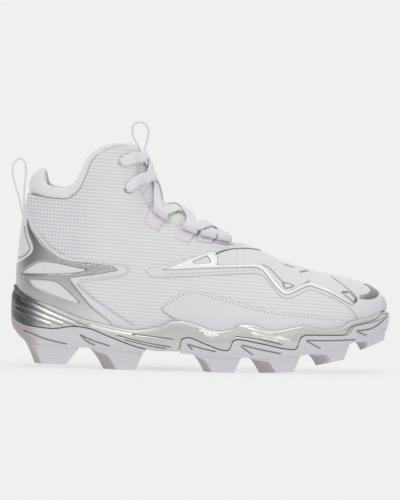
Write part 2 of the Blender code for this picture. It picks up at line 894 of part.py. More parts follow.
def tongue_line(per_span=3):
    """Frames up the tongue, from the vamp: (x, z, half-width, bow, normal x, normal z)."""
    line = smooth_line(TONGUE_ROWS, per_span=per_span)
    frames = []
    for k, (x, z, half, bow) in enumerate(line):
        ax, az = line[max(k - 1, 0)][:2]
        bx, bz = line[min(k + 1, len(line) - 1)][:2]
        length = math.hypot(bx - ax, bz - az)
        frames.append((x, z, half, bow, (bz - az) / length, -(bx - ax) / length))
    return frames


def on_tongue(frame, y, lift):
    """A point on the tongue's outer face at y, lifted off it."""
    x, z, _, bow, nx, nz = frame
    fall = bow * y * y
    slope = math.atan(2 * bow * y)
    out = lift * math.cos(slope) - fall
    return (x + nx * out, foot_line(x) + y + lift * math.sin(slope), z + nz * out)


def make_tongue():
    across = [k / 3 for k in range(-3, 4)]
    sections = []
    for frame in tongue_line(per_span=2):
        half = frame[2]
        outer = [on_tongue(frame, half * a, 0) for a in across]
        inner = [on_tongue(frame, half * a * 0.96, -TONGUE * (1 - 0.5 * a * a)) for a in across]
        sections.append(outer + inner[::-1])
    section_solid("tongue", sections, "white_textile")


def make_cuff(loop):
    """A padded roll standing on the upper's collar edge, round the heel from ear to ear."""
    own = [s for s in loop if surface_x(s) <= CUFF_END_X]
    medial = [s for s in own if s.side == MEDIAL]
    lateral = [s for s in own if s.side == LATERAL]
    path = lateral[::-1] + medial[::-1]
    edges = [Vector(place(s, *wall_at(s, 1))) for s in path]
    belows = [Vector(place(s, *wall_at(s, 0.96))) for s in path]
    sections = []
    for k, s in enumerate(path):
        tangent = (edges[min(k + 1, len(path) - 1)] - edges[max(k - 1, 0)]).normalized()
        up = (edges[k] - belows[k]).normalized()
        up = (up - tangent * up.dot(tangent)).normalized()
        inwards = tangent.cross(up) * (1 if tangent.cross(up).dot(Vector((s.ux, s.uy, 0))) < 0 else -1)
        high, thick = CUFF.at("height", edges[k].x), CUFF.at("thick", edges[k].x)
        centre = edges[k] + up * (GAP + high / 2) + inwards * (thick / 2 - 0.4)
        section = []
        for a in turns(CUFF_SIDES):
            c, n = math.cos(a), math.sin(a)
            section.append(
                centre
                + inwards * thick / 2 * math.copysign(abs(c) ** CUFF_SQUARE, c)
                + up * high / 2 * math.copysign(abs(n) ** CUFF_SQUARE, n)
            )
        sections.append(section)
    section_solid("collar_cuff", sections, "lining", sharp=60)


def lace_strip(name, frames, start, end, half_start, half_end, lift):
    """A flat strip of lace over the tongue, from one side of the throat to the other."""
    steps = 4
    points = []
    for k in range(steps + 1):
        share = k / steps
        y = mix(half_start, half_end, share)
        place_along = mix(start, end, share)
        low = int(place_along)
        first, second = frames[low], frames[min(low + 1, len(frames) - 1)]
        frame = tuple(mix(a, b, place_along - low) for a, b in zip(first, second))
        points.append((frame, y))
    sections = []
    centres = [Vector(on_tongue(f, y, lift)) for f, y in points]
    for k, (frame, y) in enumerate(points):
        tangent = (centres[min(k + 1, steps)] - centres[max(k - 1, 0)]).normalized()
        normal = (Vector(on_tongue(frame, y, lift + 1)) - centres[k]).normalized()
        side = tangent.cross(normal).normalized() * LACE_WIDTH / 2
        rise = normal * LACE_THICK
        corner = centres[k]
        sections.append([corner - side, corner + side, corner + side + rise, corner - side + rise])
    return section_solid(name, sections, "lace_white")


def make_laces():
    """The crossings over the tongue and the bars at top and bottom, joined into one solid."""
    frames = tongue_line(per_span=6)
    turns_at = []
    for x, z, _, _ in LACE_ROWS:
        half = SECTIONS.at("half", max(x, -52)) - LACE_INSET
        nearest = min(range(len(frames)), key=lambda k: abs(on_tongue(frames[k], half, 0)[2] - z))
        turns_at.append((nearest, half))
    strips = []
    for k, ((a, half_a), (b, half_b)) in enumerate(zip(turns_at, turns_at[1:])):
        for side in (LATERAL, MEDIAL):
            over = (k + (side == MEDIAL)) % 2
            lift = LACE_LIFT + LACE_OVER * over + LACE_STEP * k
            first, last = half_a + LACE_TURN * over, half_b + LACE_TURN * over
            strips.append(lace_strip(f"lace_{k}_{side}", frames, a, b, side * first, -side * last, lift))
    for k in (0, len(turns_at) - 1):
        a, half = turns_at[k]
        middle_lift = LACE_LIFT + LACE_OVER / 2
        strips.append(lace_strip(f"lace_bar_{k}", frames, a, a, -half - 1, half + 1, middle_lift))
    laces = strips[0]
    laces.name = "laces"
    for strip in strips[1:]:
        boolean(laces, "UNION", strip)


def hook(s, tail_length):
    """Section of a webbing loop: a tail down the upper's face, and a curl at the throat's edge."""
    steps = 2
    lie = LOOP_LIE + LOOP_THICK / 2
    path = []
    tail = [Vector(wall_at(s, 1))]
    length = 0.0
    share = 1.0
    while length < tail_length:
        share -= TAIL_STEP
        tail.append(Vector(wall_at(s, share)))
        length += (tail[-1] - tail[-2]).length
    picks = [tail[round(k * (len(tail) - 1) / steps)] for k in range(steps, -1, -1)]
    for k, point in enumerate(picks):
        along = (picks[min(k + 1, steps)] - picks[max(k - 1, 0)]).normalized()
        out = Vector((along.y, -along.x))
        out = out if out.x + out.y > 0 else -out
        path.append((point + out * lie, out))
    point, out = path[-1]
    along = Vector((-out.y, out.x))
    along = along if along.x < 0 else -along
    centre = point + out * LOOP_RADIUS
    for degrees in range(60, 281, 55):
        a = math.radians(degrees)
        away = along * math.sin(a) - out * math.cos(a)
        path.append((centre + away * LOOP_RADIUS, -away))
    half = LOOP_THICK / 2
    first = [place(s, *(p + n * half)) for p, n in path]
    second = [place(s, *(p - n * half)) for p, n in path]
    return first + second[::-1]


def make_lace_loops():
    for k, (x, _, held_by, tail) in enumerate(LACE_ROWS):
        if held_by != "loop":
            continue
        for side, word in ((LATERAL, "lateral"), (MEDIAL, "medial")):
            xs = [x - LOOP_WIDTH / 2, x, x + LOOP_WIDTH / 2]
            sections = [hook(station(0, side, place_x), tail) for place_x in xs]
            section_solid(f"lace_loop_{word}_{k - 1}", sections, "lace_white")


def make_pull(name, points):
    curve = bpy.data.curves.new(name, "CURVE")
    curve.dimensions = "3D"
    curve.bevel_depth = CORD / 2 * MM
    curve.bevel_resolution = 1
    curve.use_fill_caps = True
    line = smooth_line(points, per_span=2)
    spline = curve.splines.new("POLY")
    spline.points.add(len(line) - 1)
    for point, (x, z) in zip(spline.points, line):
        point.co = (*metres((x, foot_line(x), z)), 1)
    add_object(name, curve, "lace_white")


def main():
    for obj in list(bpy.data.objects):
        bpy.data.objects.remove(obj)
    arch_ends = (ARCH_REAR, ARCH_REAR + 2 * GAP, ARCH_FRONT - 2 * GAP, ARCH_FRONT)
    sole = whole_round(side_places((TOP_EDGE, SPLIT), arch_ends))
    last = whole_round(side_places((SECTIONS,)))
    make_outsole("heel", sole)
    make_outsole("forefoot", sole)
    make_midsole(sole)
    make_insole(last)
    make_upper(last)
    make_heel_skin(last)
    make_vamp_skin(last)
    make_trim(last)
    make_tongue()
    make_cuff(last)
    make_laces()
    make_lace_loops()
    make_pull("heel_pull_loop", HEEL_PULL)
    make_pull("tongue_pull_loop", TONGUE_PULL)


main()
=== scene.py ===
import math

import bmesh
import bpy
import numpy as np
from mathutils import Matrix, Vector


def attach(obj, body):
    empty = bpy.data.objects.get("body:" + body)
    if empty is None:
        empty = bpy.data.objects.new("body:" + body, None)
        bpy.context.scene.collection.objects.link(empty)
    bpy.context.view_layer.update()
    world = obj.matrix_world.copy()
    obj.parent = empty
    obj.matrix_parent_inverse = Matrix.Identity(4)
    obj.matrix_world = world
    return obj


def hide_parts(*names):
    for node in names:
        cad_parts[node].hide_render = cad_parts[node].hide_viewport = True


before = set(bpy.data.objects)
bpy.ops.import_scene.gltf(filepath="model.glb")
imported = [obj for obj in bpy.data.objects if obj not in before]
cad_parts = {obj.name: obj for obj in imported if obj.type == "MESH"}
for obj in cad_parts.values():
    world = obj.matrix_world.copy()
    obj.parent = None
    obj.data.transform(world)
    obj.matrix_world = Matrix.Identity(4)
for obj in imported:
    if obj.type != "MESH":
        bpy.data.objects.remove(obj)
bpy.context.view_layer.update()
print("frame loaded, its box kept")

mm = 0.001
lateral, medial = -1, 1
middleX, middleY = 0.4, -1.8  # middle of the shoe's box, which is the frame's origin


def addObject(name, data):
    made = bpy.data.objects.new(name, data)
    bpy.context.scene.collection.objects.link(made)
    return made


# camera: level with the shoe, a little rolled, and far off as with a long lens
cameraView = {"target": (-0.4, 1.8, 95.6), "distance": 5000, "elevation": 1.5, "roll": 1.24, "lens": 450}


def setCamera(view):
    rise = math.radians(view["elevation"])
    away = Vector((0, -math.cos(rise), math.sin(rise)))
    look = (-away).to_track_quat("-Z", "Y").to_matrix().to_4x4()
    data = bpy.data.cameras.new("camera")
    data.lens = view["lens"]
    data.sensor_width = 36
    data.clip_end = 50
    camera = addObject("camera", data)
    place = Matrix.Translation((Vector(view["target"]) + away * view["distance"]) * mm)
    camera.matrix_world = place @ look @ Matrix.Rotation(math.radians(view["roll"]), 4, "Z")
    bpy.context.scene.camera = camera


setCamera(cameraView)
print("camera set")


# reading tables and drawing lines


def table(names, *rows):  # rows with named columns, kept as columns
    return {name: np.array(values, float) for name, values in zip(names.split(), zip(*rows))}


def read(columns, name, x):  # a curve through the rows that never overshoots them
    places, values = columns["x"], columns[name]
    x = np.clip(x, places[0], places[-1])
    k = np.clip(np.searchsorted(places, x, side="right") - 1, 0, len(places) - 2)
    steps = np.diff(values) / np.diff(places)
    slopes = np.zeros(len(places))
    product, total = steps[:-1] * steps[1:], steps[:-1] + steps[1:]
    slopes[1:-1] = np.where(product > 0, 2 * product / np.where(product > 0, total, 1), 0)
    span = places[k + 1] - places[k]
    s = (x - places[k]) / span
    rise = (values[k + 1] - values[k]) * s * s * (3 - 2 * s)
    return values[k] + rise + span * s * (1 - s) * (slopes[k] * (1 - s) - slopes[k + 1] * s)


def mix(a, b, share):
    return a + (b - a) * share


def smoothStep(x):
    x = np.clip(np.asarray(x, float), 0, 1)
    return x * x * (3 - 2 * x)


def smoothLine(points, closed=False, perSpan=6):  # a curve through the given points
    points = np.array(points, float)
    count = len(points)
    spans = count if closed else count - 1
    along = np.arange(spans * perSpan + (0 if closed else 1)) / perSpan
    k = np.minimum(along.astype(int), spans - 1)
    s = (along - k)[:, None]
    near = [(k + j) % count if closed else np.clip(k + j, 0, count - 1) for j in (-1, 0, 1, 2)]
    a, b, c, d = (points[index] for index in near)
    return b + 0.5 * s * (c - a + s * (2 * a - 5 * b + 4 * c - d + s * (3 * (b - c) + d - a)))


def lengthsAlong(points):
    return np.concatenate([[0], np.cumsum(np.linalg.norm(np.diff(points, axis=0), axis=1))])


def toUnit(vectors):
    return vectors / np.linalg.norm(vectors, axis=-1, keepdims=True)


def bulge(value, power):  # a sine or cosine made squarer, for rounded sections
    return np.copysign(abs(value) ** power, value)


def evenLine(points, step):  # the same line with its points an even step apart
    lengths = lengthsAlong(points)
    marks = np.linspace(0, lengths[-1], max(2, round(lengths[-1] / step) + 1))
    return np.stack([np.interp(marks, lengths, points[:, i]) for i in range(points.shape[1])], axis=1)


def roundedOutline(corners, steps=5):  # corners are x, z and the radius of the bend
    corners = np.array(corners, float)
    line = []
    for k, (x, z, radius) in enumerate(corners):
        here, before, after = (corners[j % len(corners), :2] for j in (k, k - 1, k + 1))
        if not radius:
            line.append(here)
            continue
        back, ahead = before - here, after - here
        reach = min(radius, 0.45 * np.linalg.norm(back), 0.45 * np.linalg.norm(ahead))
        start = here + back / np.linalg.norm(back) * reach
        end = here + ahead / np.linalg.norm(ahead) * reach
        for s in np.linspace(0, 1, steps):
            line.append(start * (1 - s) ** 2 + here * 2 * s * (1 - s) + end * s * s)
    return np.array(line)


def distanceToLine(line, *places):  # places are x and z seen from the side, or x, y and z
    line = np.asarray(line, float)
    best = np.full(np.shape(places[0]), 1e9)
    for start, edge in zip(line[:-1], np.diff(line, axis=0)):
        away = [place - begin for place, begin in zip(places, start)]
        share = np.clip(sum(a * e for a, e in zip(away, edge)) / max(edge @ edge, 1e-9), 0, 1)
        best = np.minimum(best, sum((a - share * e) ** 2 for a, e in zip(away, edge)))
    return np.sqrt(best)


def depthInside(outline, x, z):  # positive inside the outline, in mm from its edge
    ring = np.vstack([outline, outline[:1]])
    inside = np.zeros(np.shape(x), bool)
    for (ax, az), (bx, bz) in zip(ring[:-1], ring[1:]):
        if az != bz:
            crosses = (az > z) != (bz > z)
            inside ^= crosses & (x < (bx - ax) * (z - az) / (bz - az) + ax)
    return np.where(inside, 1, -1) * distanceToLine(ring, x, z)


# the last, in mm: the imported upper's sections, a little softer just ahead of the throat

lastForm = {
    "heelAxis": -108.0,
    "toeAxis": 100.0,
    "fan": 60.0,  # how much of the round coordinate each rounded end takes
    "swing": 5.0,
    "footInset": 6.0,
    "wall": 2.2,
    "gap": 0.3,
    "plan": table(
        "x lateral medial",
        (-143, 22, 22), (-129, 33.5, 33), (-108, 38.5, 38), (-75, 39.5, 36), (-40, 41.5, 32),
        (-5, 47, 35.5), (30, 53, 44.5), (58, 54, 50), (85, 50.5, 50), (110, 42.5, 46), (131, 31, 39),
        (145.5, 15, 27.5),
    ),
    "heelEnd": (-150.0, 0.0),
    "toeEnd": (153.0, 7.0),
    "base": table(
        "x plate floor",
        (-150, 31, 38), (-140, 23, 36.5), (-128, 19, 34.5), (-93, 17.2, 32), (-60, 15.5, 29),
        (-20, 14.6, 26), (10, 12.8, 24), (35, 12.3, 23.5), (60, 12.8, 24), (82, 15, 26), (105, 19.5, 29),
        (121, 24.6, 33), (138, 29.6, 39.4), (152, 35, 43),
    ),
    "sections": table(
        "x half z pitch reach belly rise",
        (-108, 31.5, 134.4, 86, 34, 7, 34),
        (-98.4, 32, 140.3, 87, 36, 7, 34),
        (-94.4, 32, 146.5, 88, 40, 7, 34),
        (-91, 31.8, 155, 88, 44, 7, 34),
        (-88, 31.5, 163.5, 88, 48, 7, 34),
        (-84, 31, 169, 88, 50, 7, 34),
        (-77, 30, 174, 88, 52, 7, 33),
        (-69.4, 28, 177, 86, 54, 7, 33),
        (-62, 25.8, 178.4, 84, 54, 7, 32),
        (-58.4, 24.5, 176.5, 82, 52, 6.5, 32),
        (-52, 23, 161.8, 78, 46, 6, 32),
        (-48, 22.3, 141.9, 70, 38, 6, 31),
        (-40.8, 21.5, 128.4, 60, 34, 5.5, 30),
        (-23.2, 20, 116.8, 50, 30, 5, 30),
        (-4.8, 18, 108.6, 41, 26, 4, 31),
        (11.2, 14.5, 104, 30, 25, 3.5, 32),
        (24.8, 9.6, 101.2, 17, 20.8, 3, 33),
        (28.5, 5.2, 101.9, 12, 24.2, 3, 34),
        (30.5, 0, 102.4, 9, 28.9, 3, 34),
        (39, 0, 99.3, 6, 28.6, 3, 34),
        (53, 0, 93.1, 3, 28.3, 3, 33),
        (65, 0, 87.8, 1, 28, 3, 32),
        (76, 0, 84.5, 0, 28, 3, 31),
        (86, 0, 81.8, 0, 28, 3.5, 31),
        (100, 0, 78.6, 0, 28, 4, 30),
    ),
    "heelBack": {"half": 30.8, "z": 138.4, "pitch": 80, "reach": 40, "belly": 3, "rise": 38},
    "toeTip": {"half": 0, "z": 78.6, "pitch": 12, "reach": 30, "belly": 7, "rise": 28},
}
heelStart = lastForm["heelAxis"] - lastForm["fan"]
toeStop = lastForm["toeAxis"] + lastForm["fan"]
halfRound = toeStop - heelStart  # half of q, which runs from toe to toe round the heel, lateral side first
halvings = 22  # steps of a search, to well under a micrometre


def footLine(x):  # y of the shoe's ridge, which swings to the medial side
    return lastForm["swing"] * smoothStep((x + 50) / 150)


def planOutline():
    plan = lastForm["plan"]
    outer = list(zip(plan["x"], -plan["lateral"]))
    inner = list(zip(plan["x"], plan["medial"]))
    return smoothLine([lastForm["heelEnd"], *outer, lastForm["toeEnd"], *inner[::-1]], True, 10)


def directions(side, w):  # where a station stands and which way it faces
    x = np.clip(w, lastForm["heelAxis"], lastForm["toeAxis"])
    quarter = math.pi / 2 / lastForm["fan"]
    heelTurn = np.clip(lastForm["heelAxis"] - w, 0, lastForm["fan"]) * quarter
    toeTurn = np.clip(w - lastForm["toeAxis"], 0, lastForm["fan"]) * quarter
    ux, uy = np.sin(toeTurn) - np.sin(heelTurn), side * np.cos(heelTurn + toeTurn)
    return x, footLine(x), ux, uy, heelTurn, toeTurn


def reachToOutline(outline, x, y, ux, uy):
    furthest = np.zeros(np.shape(x))
    for (ax, ay), (bx, by) in zip(outline, np.roll(outline, -1, axis=0)):
        ex, ey = bx - ax, by - ay
        cross = ux * ey - uy * ex
        cross = np.where(np.abs(cross) < 1e-9, 1e-9, cross)
        along = ((ax - x) * ey - (ay - y) * ex) / cross
        share = ((ax - x) * uy - (ay - y) * ux) / cross
        furthest = np.where((along > furthest) & (share >= 0) & (share <= 1), along, furthest)
    return furthest


outline = planOutline()
marks = np.linspace(heelStart, toeStop, 1313)
soleReach = {side: reachToOutline(outline, *directions(side, marks)[:4]) for side in (lateral, medial)}


def stations(q):  # all that a station of the last holds, for an array of round coordinates
    q = (np.asarray(q, float) + halfRound) % (2 * halfRound) - halfRound
    side = np.where(q < 0, lateral, medial)
    w = np.abs(q) + heelStart
    x, y, ux, uy, heelTurn, toeTurn = directions(side, w)
    outer, inner = (np.interp(w, marks, soleReach[each]) for each in (lateral, medial))
    reach = np.where(side == lateral, outer, inner)
    held = {"x": x, "y": y, "ux": ux, "uy": uy, "sole": reach}
    held["heel"], held["toe"] = np.sin(heelTurn) ** 2, np.sin(toeTurn) ** 2
    held["surfaceX"] = x + ux * (reach - lastForm["footInset"])
    return held


def wallAt(st, t):  # radius and height on the upper's outer face, t from its foot to its upper edge
    v = {}
    for name in ("half", "z", "pitch", "reach", "belly", "rise"):
        value = mix(read(lastForm["sections"], name, st["x"]), lastForm["heelBack"][name], st["heel"])
        v[name] = mix(value, lastForm["toeTip"][name], st["toe"])
    footR = st["sole"] - lastForm["footInset"]
    footZ = read(lastForm["base"], "floor", st["surfaceX"])
    pitch = np.radians(v["pitch"])
    crownR, crownZ = v["half"] + v["reach"] * np.cos(pitch), v["z"] - v["reach"] * np.sin(pitch)
    a, b, c, d = (1 - t) ** 3, 3 * t * (1 - t) ** 2, 3 * t * t * (1 - t), t**3
    radius = a * footR + b * (footR + v["belly"]) + c * crownR + d * v["half"]
    return radius, a * footZ + b * (footZ + v["rise"]) + c * crownZ + d * v["z"]


def shareAtHeight(st, z):
    low, high = np.zeros(np.shape(z)), np.ones(np.shape(z))
    for _ in range(halvings):
        middle = (low + high) / 2
        under = wallAt(st, middle)[1] < z
        low, high = np.where(under, middle, low), np.where(under, high, middle)
    return low


def upperRadius(st, z):
    return wallAt(st, shareAtHeight(st, z))[0]


def atStation(st, radius, z):
    x, y = st["x"] + st["ux"] * radius, st["y"] + st["uy"] * radius
    return np.stack(np.broadcast_arrays(x, y, z), axis=-1)


def upperPoint(q, t):
    st = stations(q)
    return atStation(st, *wallAt(st, t))


def upperNormal(q, t):
    t = np.clip(t, 0.01, 0.985)  # keeps the points beside it on the wall
    along = upperPoint(q + 0.2, t) - upperPoint(q - 0.2, t)
    up = upperPoint(q, t + 0.005) - upperPoint(q, t - 0.005)
    return toUnit(np.cross(up, along))


def onUpper(side, x, z):  # the round coordinate and share of the points at x and z on one side
    x, z = np.asarray(x, float), np.asarray(z, float)
    heel, toe = lastForm["heelAxis"], lastForm["toeAxis"]
    low = np.where(x < heel, heelStart, np.where(x > toe, toe, x))
    high = np.where(x < heel, heel, np.where(x > toe, toeStop, x))
    for _ in range(halvings):
        middle = (low + high) / 2
        st = stations(side * (middle - heelStart))
        short = st["x"] + st["ux"] * upperRadius(st, z) < x
        low, high = np.where(short, middle, low), np.where(short, high, middle)
    q = side * ((low + high) / 2 - heelStart)
    return q, shareAtHeight(stations(q), z)


print("last worked out")


# meshes


def inMetres(points):
    return (np.asarray(points, float) - (middleX, middleY, 0)) * mm


def gridThrough(bm, points):  # lays a bmesh grid on rows and columns of points
    rows, columns = points.shape[:2]
    places = inMetres(points)
    made = bmesh.ops.create_grid(bm, x_segments=rows - 1, y_segments=columns - 1, size=0.5, calc_uvs=True)
    for vert in made["verts"]:
        i, j = round((vert.co.x + 0.5) * (rows - 1)), round((vert.co.y + 0.5) * (columns - 1))
        vert.co = places[i, j]


def newMesh():
    bm = bmesh.new()
    bm.loops.layers.uv.new("UVMap")
    return bm


def gridMesh(points):
    bm = newMesh()
    gridThrough(bm, points)
    return bm


def toMesh(name, bm):
    mesh = bpy.data.meshes.new(name)
    bm.to_mesh(mesh)
    bm.free()
    return mesh


def finishPiece(name, bm, materials, nodes=(), weld=0.02, sharp=40, closeEnds=False):
    bmesh.ops.remove_doubles(bm, verts=bm.verts, dist=weld * mm)
    bmesh.ops.dissolve_degenerate(bm, edges=bm.edges, dist=0.001 * mm)
    if closeEnds:
        bmesh.ops.holes_fill(bm, edges=[edge for edge in bm.edges if edge.is_boundary])
    if not any(edge.is_boundary for edge in bm.edges):  # an open sheet is made facing out already
        bmesh.ops.recalc_face_normals(bm, faces=bm.faces)
    mesh = toMesh(name, bm)
    mesh.shade_smooth()
    mesh.set_sharp_from_angle(angle=math.radians(sharp))
    for material in materials:
        mesh.materials.append(material)
    piece = addObject(name, mesh)
    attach(piece, "root")
    if nodes:
        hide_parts(*nodes)
    return piece


def thicken(piece, wall, offset=-1, inner=0):
    solidify = piece.modifiers.new("wall", "SOLIDIFY")
    solidify.thickness = wall * mm
    solidify.offset = offset
    solidify.material_offset = inner
    return piece


def snapToEdge(bm, q, t, depth):  # moves the points next to an outline on to it, so faces lie in or out
    ends = np.array([[vert.index for vert in edge.verts] for edge in bm.edges])
    first, second = depth[ends[:, 0]], depth[ends[:, 1]]
    nearest = {}
    for k in np.flatnonzero(first * second < 0):
        share = first[k] / (first[k] - second[k])
        mover, other = ends[k] if share <= 0.5 else ends[k][::-1]
        share = min(share, 1 - share)
        if mover not in nearest or share < nearest[mover][0]:
            nearest[mover] = (share, other)
    newQ, newT, newDepth = q.copy(), t.copy(), depth.copy()
    for mover, (share, other) in nearest.items():
        newQ[mover], newT[mover] = mix(q[mover], q[other], share), mix(t[mover], t[other], share)
        newDepth[mover] = 0
    return newQ, newT, newDepth


seamWeld = 0.15  # mm, closes a sheet where its two sides meet on the ridge
edgeWide = 0.35  # mm of a sheet's edge that gets painted shade


def cutSheet(spans, shares, cell, depthAt, liftAt, dark=0.35):  # a sheet off the upper, cut to an outline, with painted shade along its cut edge
    bm = newMesh()
    for start, stop in spans:
        columns, rows = round(abs(stop - start) / cell[0]), round((shares[1] - shares[0]) / cell[1])
        made = bmesh.ops.create_grid(bm, x_segments=columns, y_segments=rows, size=0.5, calc_uvs=True)
        for vert in made["verts"]:
            vert.co = (mix(start, stop, vert.co.x + 0.5), mix(*shares, vert.co.y + 0.5), 0)
    bmesh.ops.triangulate(bm, faces=bm.faces)
    bm.verts.index_update()
    flat = np.array([vert.co for vert in bm.verts])
    q, t = flat[:, 0], flat[:, 1]
    q, t, depth = snapToEdge(bm, q, t, depthAt(upperPoint(q, t)))
    outside = [face for face in bm.faces if max(depth[vert.index] for vert in face.verts) <= 1e-6]
    points, normals = upperPoint(q, t), upperNormal(q, t)
    lifted = inMetres(points + normals * liftAt(points, depth)[:, None])
    layer = bm.verts.layers.float.new("groove")  # painted shade along the cut edge
    for vert, place, near in zip(list(bm.verts), lifted, np.exp(-((depth / edgeWide) ** 2))):
        vert.co = place
        vert[layer] = dark * near
    bmesh.ops.delete(bm, geom=outside, context="FACES")
    bmesh.ops.reverse_faces(bm, faces=bm.faces)
    return bm


def insideOf(corners, *holes):  # how deep a point lies in a rounded outline and out of its holes
    outline = roundedOutline(corners)
    cuts = [roundedOutline(hole) for hole in holes]

    def depthAt(points):
        x, z = points[:, 0], points[:, 2]
        return np.min([depthInside(outline, x, z), *(-depthInside(cut, x, z) for cut in cuts)], axis=0)
    return depthAt


def roundedLift(low, high, bend):  # rises from the sheet's edge round a bend to its full height
    def lift(points, depth):
        share = 1 - np.clip(depth / bend, 0, 1)
        return low + high * np.sqrt(np.clip(1 - share * share, 0, 1))
    return lift


def grooveShare(lines, wide, *places):
    away = np.min([distanceToLine(line, *places) for line in lines], axis=0)
    return np.exp(-((away / wide) ** 2))


def markGrooves(piece, lines, wide, dark=1):  # keeps how deep in a groove or line each point lies, for the material to darken there; in grooves, creases and the split this is painted shade
    places = np.array([vert.co for vert in piece.data.vertices]) / mm + (middleX, middleY, 0)
    columns = (0, 2) if lines[0].shape[1] == 2 else (0, 1, 2)
    layer = piece.data.attributes.get("groove") or piece.data.attributes.new("groove", "FLOAT", "POINT")
    known = np.array([item.value for item in layer.data])
    share = grooveShare(lines, wide, *(places[:, column] for column in columns))
    layer.data.foreach_set("value", np.maximum(known, dark * share))


def bothSides(start, stop):  # the same stretch on the lateral and on the medial side, by x along the shoe
    return [(-(stop - heelStart), -(start - heelStart)), (start - heelStart, stop - heelStart)]


def placeOnUpper(side, line, lift):  # points, directions and normals along a line drawn from the side
    q, t = onUpper(side, line[:, 0], line[:, 1])
    normals = upperNormal(q, t)
    points = upperPoint(q, t) + normals * lift
    return points, toUnit(np.gradient(points, axis=0)), normals


def standAt(point, along, normal):  # a matrix with x along the line and z off the surface
    across = np.cross(normal, along)
    place = Matrix(np.stack([along, across, normal], axis=1).tolist()).to_4x4()
    return Matrix.Translation(inMetres(point)) @ place


def laidLines(lines, lift):  # lines drawn from the side, laid on both sides of the upper
    both = [(side, np.asarray(line, float)) for line in lines for side in (lateral, medial)]
    return [placeOnUpper(side, line, lift)[0] for side, line in both]


# materials


def toLinear(hexColour):
    channels = [int(hexColour[k : k + 2], 16) / 255 for k in (1, 3, 5)]
    return tuple(c / 12.92 if c <= 0.04045 else ((c + 0.055) / 1.055) ** 2.4 for c in channels) + (1,)


def addNode(tree, kind, settings=None, links=None):
    node = tree.nodes.new("ShaderNode" + kind)
    for key, value in (settings or {}).items():
        if isinstance(key, int) or key in node.inputs:
            node.inputs[key].default_value = value
        else:
            setattr(node, key, value)
    for key, socket in (links or {}).items():
        tree.links.new(socket, node.inputs[key])
    return node


def startMaterial(name, settings):
    material = bpy.data.materials.new(name)
    material.use_nodes = True
    tree = material.node_tree
    shader = tree.nodes["Principled BSDF"]
    for key, value in settings.items():
        shader.inputs[key].default_value = value
    return material, tree, shader, addNode(tree, "TexCoord").outputs


def joinShader(tree, shader, colour, look=None, height=None, invert=False):  # colour, and any bump
    tree.links.new(colour, shader.inputs["Base Color"])
    if height is not None:
        settings = {"Strength": look["bump"], "Distance": look["deep"] * mm, "invert": invert}
        bump = addNode(tree, "Bump", settings, {"Height": height})
        tree.links.new(bump.outputs["Normal"], shader.inputs["Normal"])


def bandScale(spacing):  # a wave texture's scale for bands this many mm apart
    return 2 * math.pi / (20 * spacing * mm)


def grainScale(size):  # a noise texture's scale for spots of about this many mm
    return 1 / (size * mm)


def setRamp(node, *stops):
    ramp = node.color_ramp
    while len(ramp.elements) < len(stops):
        ramp.elements.new(0.5)
    for element, (place, colour) in zip(ramp.elements, stops):
        element.position = place
        element.color = toLinear(colour)


textileLook = {
    "thread": "#efeff2",
    # the valley and pit colours are painted shade in the hollows of the weave
    "valley": "#e4e4e8",
    "shadedPit": "#d0d0d6",
    "rib": 2.75,  # mm from rib to rib
    "cell": 2.75,
    "tilt": 3.2,  # degrees
    "rows": 0.7,  # how much of the relief the rows between the ribs have
    "heel": (-75, -100),  # where the waffle cells come in
    "waffle": 0.7,
    "fine": 0.8,
    "fuzz": 0.35,
    "bump": 0.32,
    "deep": 0.6,
}


def makeTextile(look):  # woven polyester: matt ribs, with painted shade darkening the rows between them and the pits of the waffle cells at the heel
    finish = {"Roughness": 0.85, "Sheen Weight": 0.25}
    material, tree, shader, coords = startMaterial("woven_polyester", finish)
    turned = addNode(tree, "Mapping", {"Rotation": (0, math.radians(-look["tilt"]), 0)},
                     {"Vector": coords["Object"]})
    ribs, cells = (addNode(tree, "TexWave", {"bands_direction": axis, "Scale": bandScale(look[name])},
                           {"Vector": turned.outputs["Vector"]}).outputs["Fac"]
                   for axis, name in (("Z", "rib"), ("X", "cell")))
    parts = addNode(tree, "SeparateXYZ", None, {"Vector": coords["Object"]})
    start, stop = look["heel"]
    ends = {"From Min": start * mm, "From Max": stop * mm, "To Max": look["waffle"]}
    heel = addNode(tree, "MapRange", ends, {"Value": parts.outputs["X"]})
    rows = addNode(tree, "Math", {"operation": "MULTIPLY_ADD", 1: look["rows"], 2: 1 - look["rows"]},
                   {0: ribs})
    waffle = addNode(tree, "Math", {"operation": "MULTIPLY"}, {0: ribs, 1: cells})
    woven = addNode(tree, "Mix", {"data_type": "FLOAT"},
                    {0: heel.outputs["Result"], 2: rows.outputs[0], 3: waffle.outputs[0]})
    fine = addNode(tree, "TexNoise", {"Scale": grainScale(look["fine"]), "Detail": 2.0},
                   {"Vector": coords["Object"]})
    height = addNode(tree, "Math", {"operation": "MULTIPLY_ADD", 1: look["fuzz"]},
                     {0: fine.outputs["Fac"], 2: woven.outputs[0]})
    colour = addNode(tree, "ValToRGB", None, {"Fac": woven.outputs[0]})
    setRamp(colour, (0.0, look["shadedPit"]), (0.4, look["valley"]), (0.65, look["thread"]))
    joinShader(tree, shader, colour.outputs["Color"], look, height.outputs[0])
    return material


# the groove colour is painted shade in creases, vents and along cut edges
skinLook = {"face": "#ebeaee", "groove": "#5e5c61", "grain": 0.9, "bump": 0.12, "deep": 0.2}


def makeSkinFilm(look):  # moulded polyurethane film: satin, with a faint pebble, and painted shade in its creases, vents and cut edges
    finish = {"Roughness": 0.42, "IOR": 1.5, "Coat Weight": 0.1}
    material, tree, shader, coords = startMaterial("moulded_polyurethane", finish)
    grain = addNode(tree, "TexVoronoi", {"Scale": grainScale(look["grain"])}, {"Vector": coords["Object"]})
    groove = addNode(tree, "Attribute", {"attribute_name": "groove"})
    colour = addNode(tree, "ValToRGB", None, {"Fac": groove.outputs["Fac"]})
    setRamp(colour, (0.1, look["face"]), (1.0, look["groove"]))
    joinShader(tree, shader, colour.outputs["Color"], look, grain.outputs["Distance"])
    return material


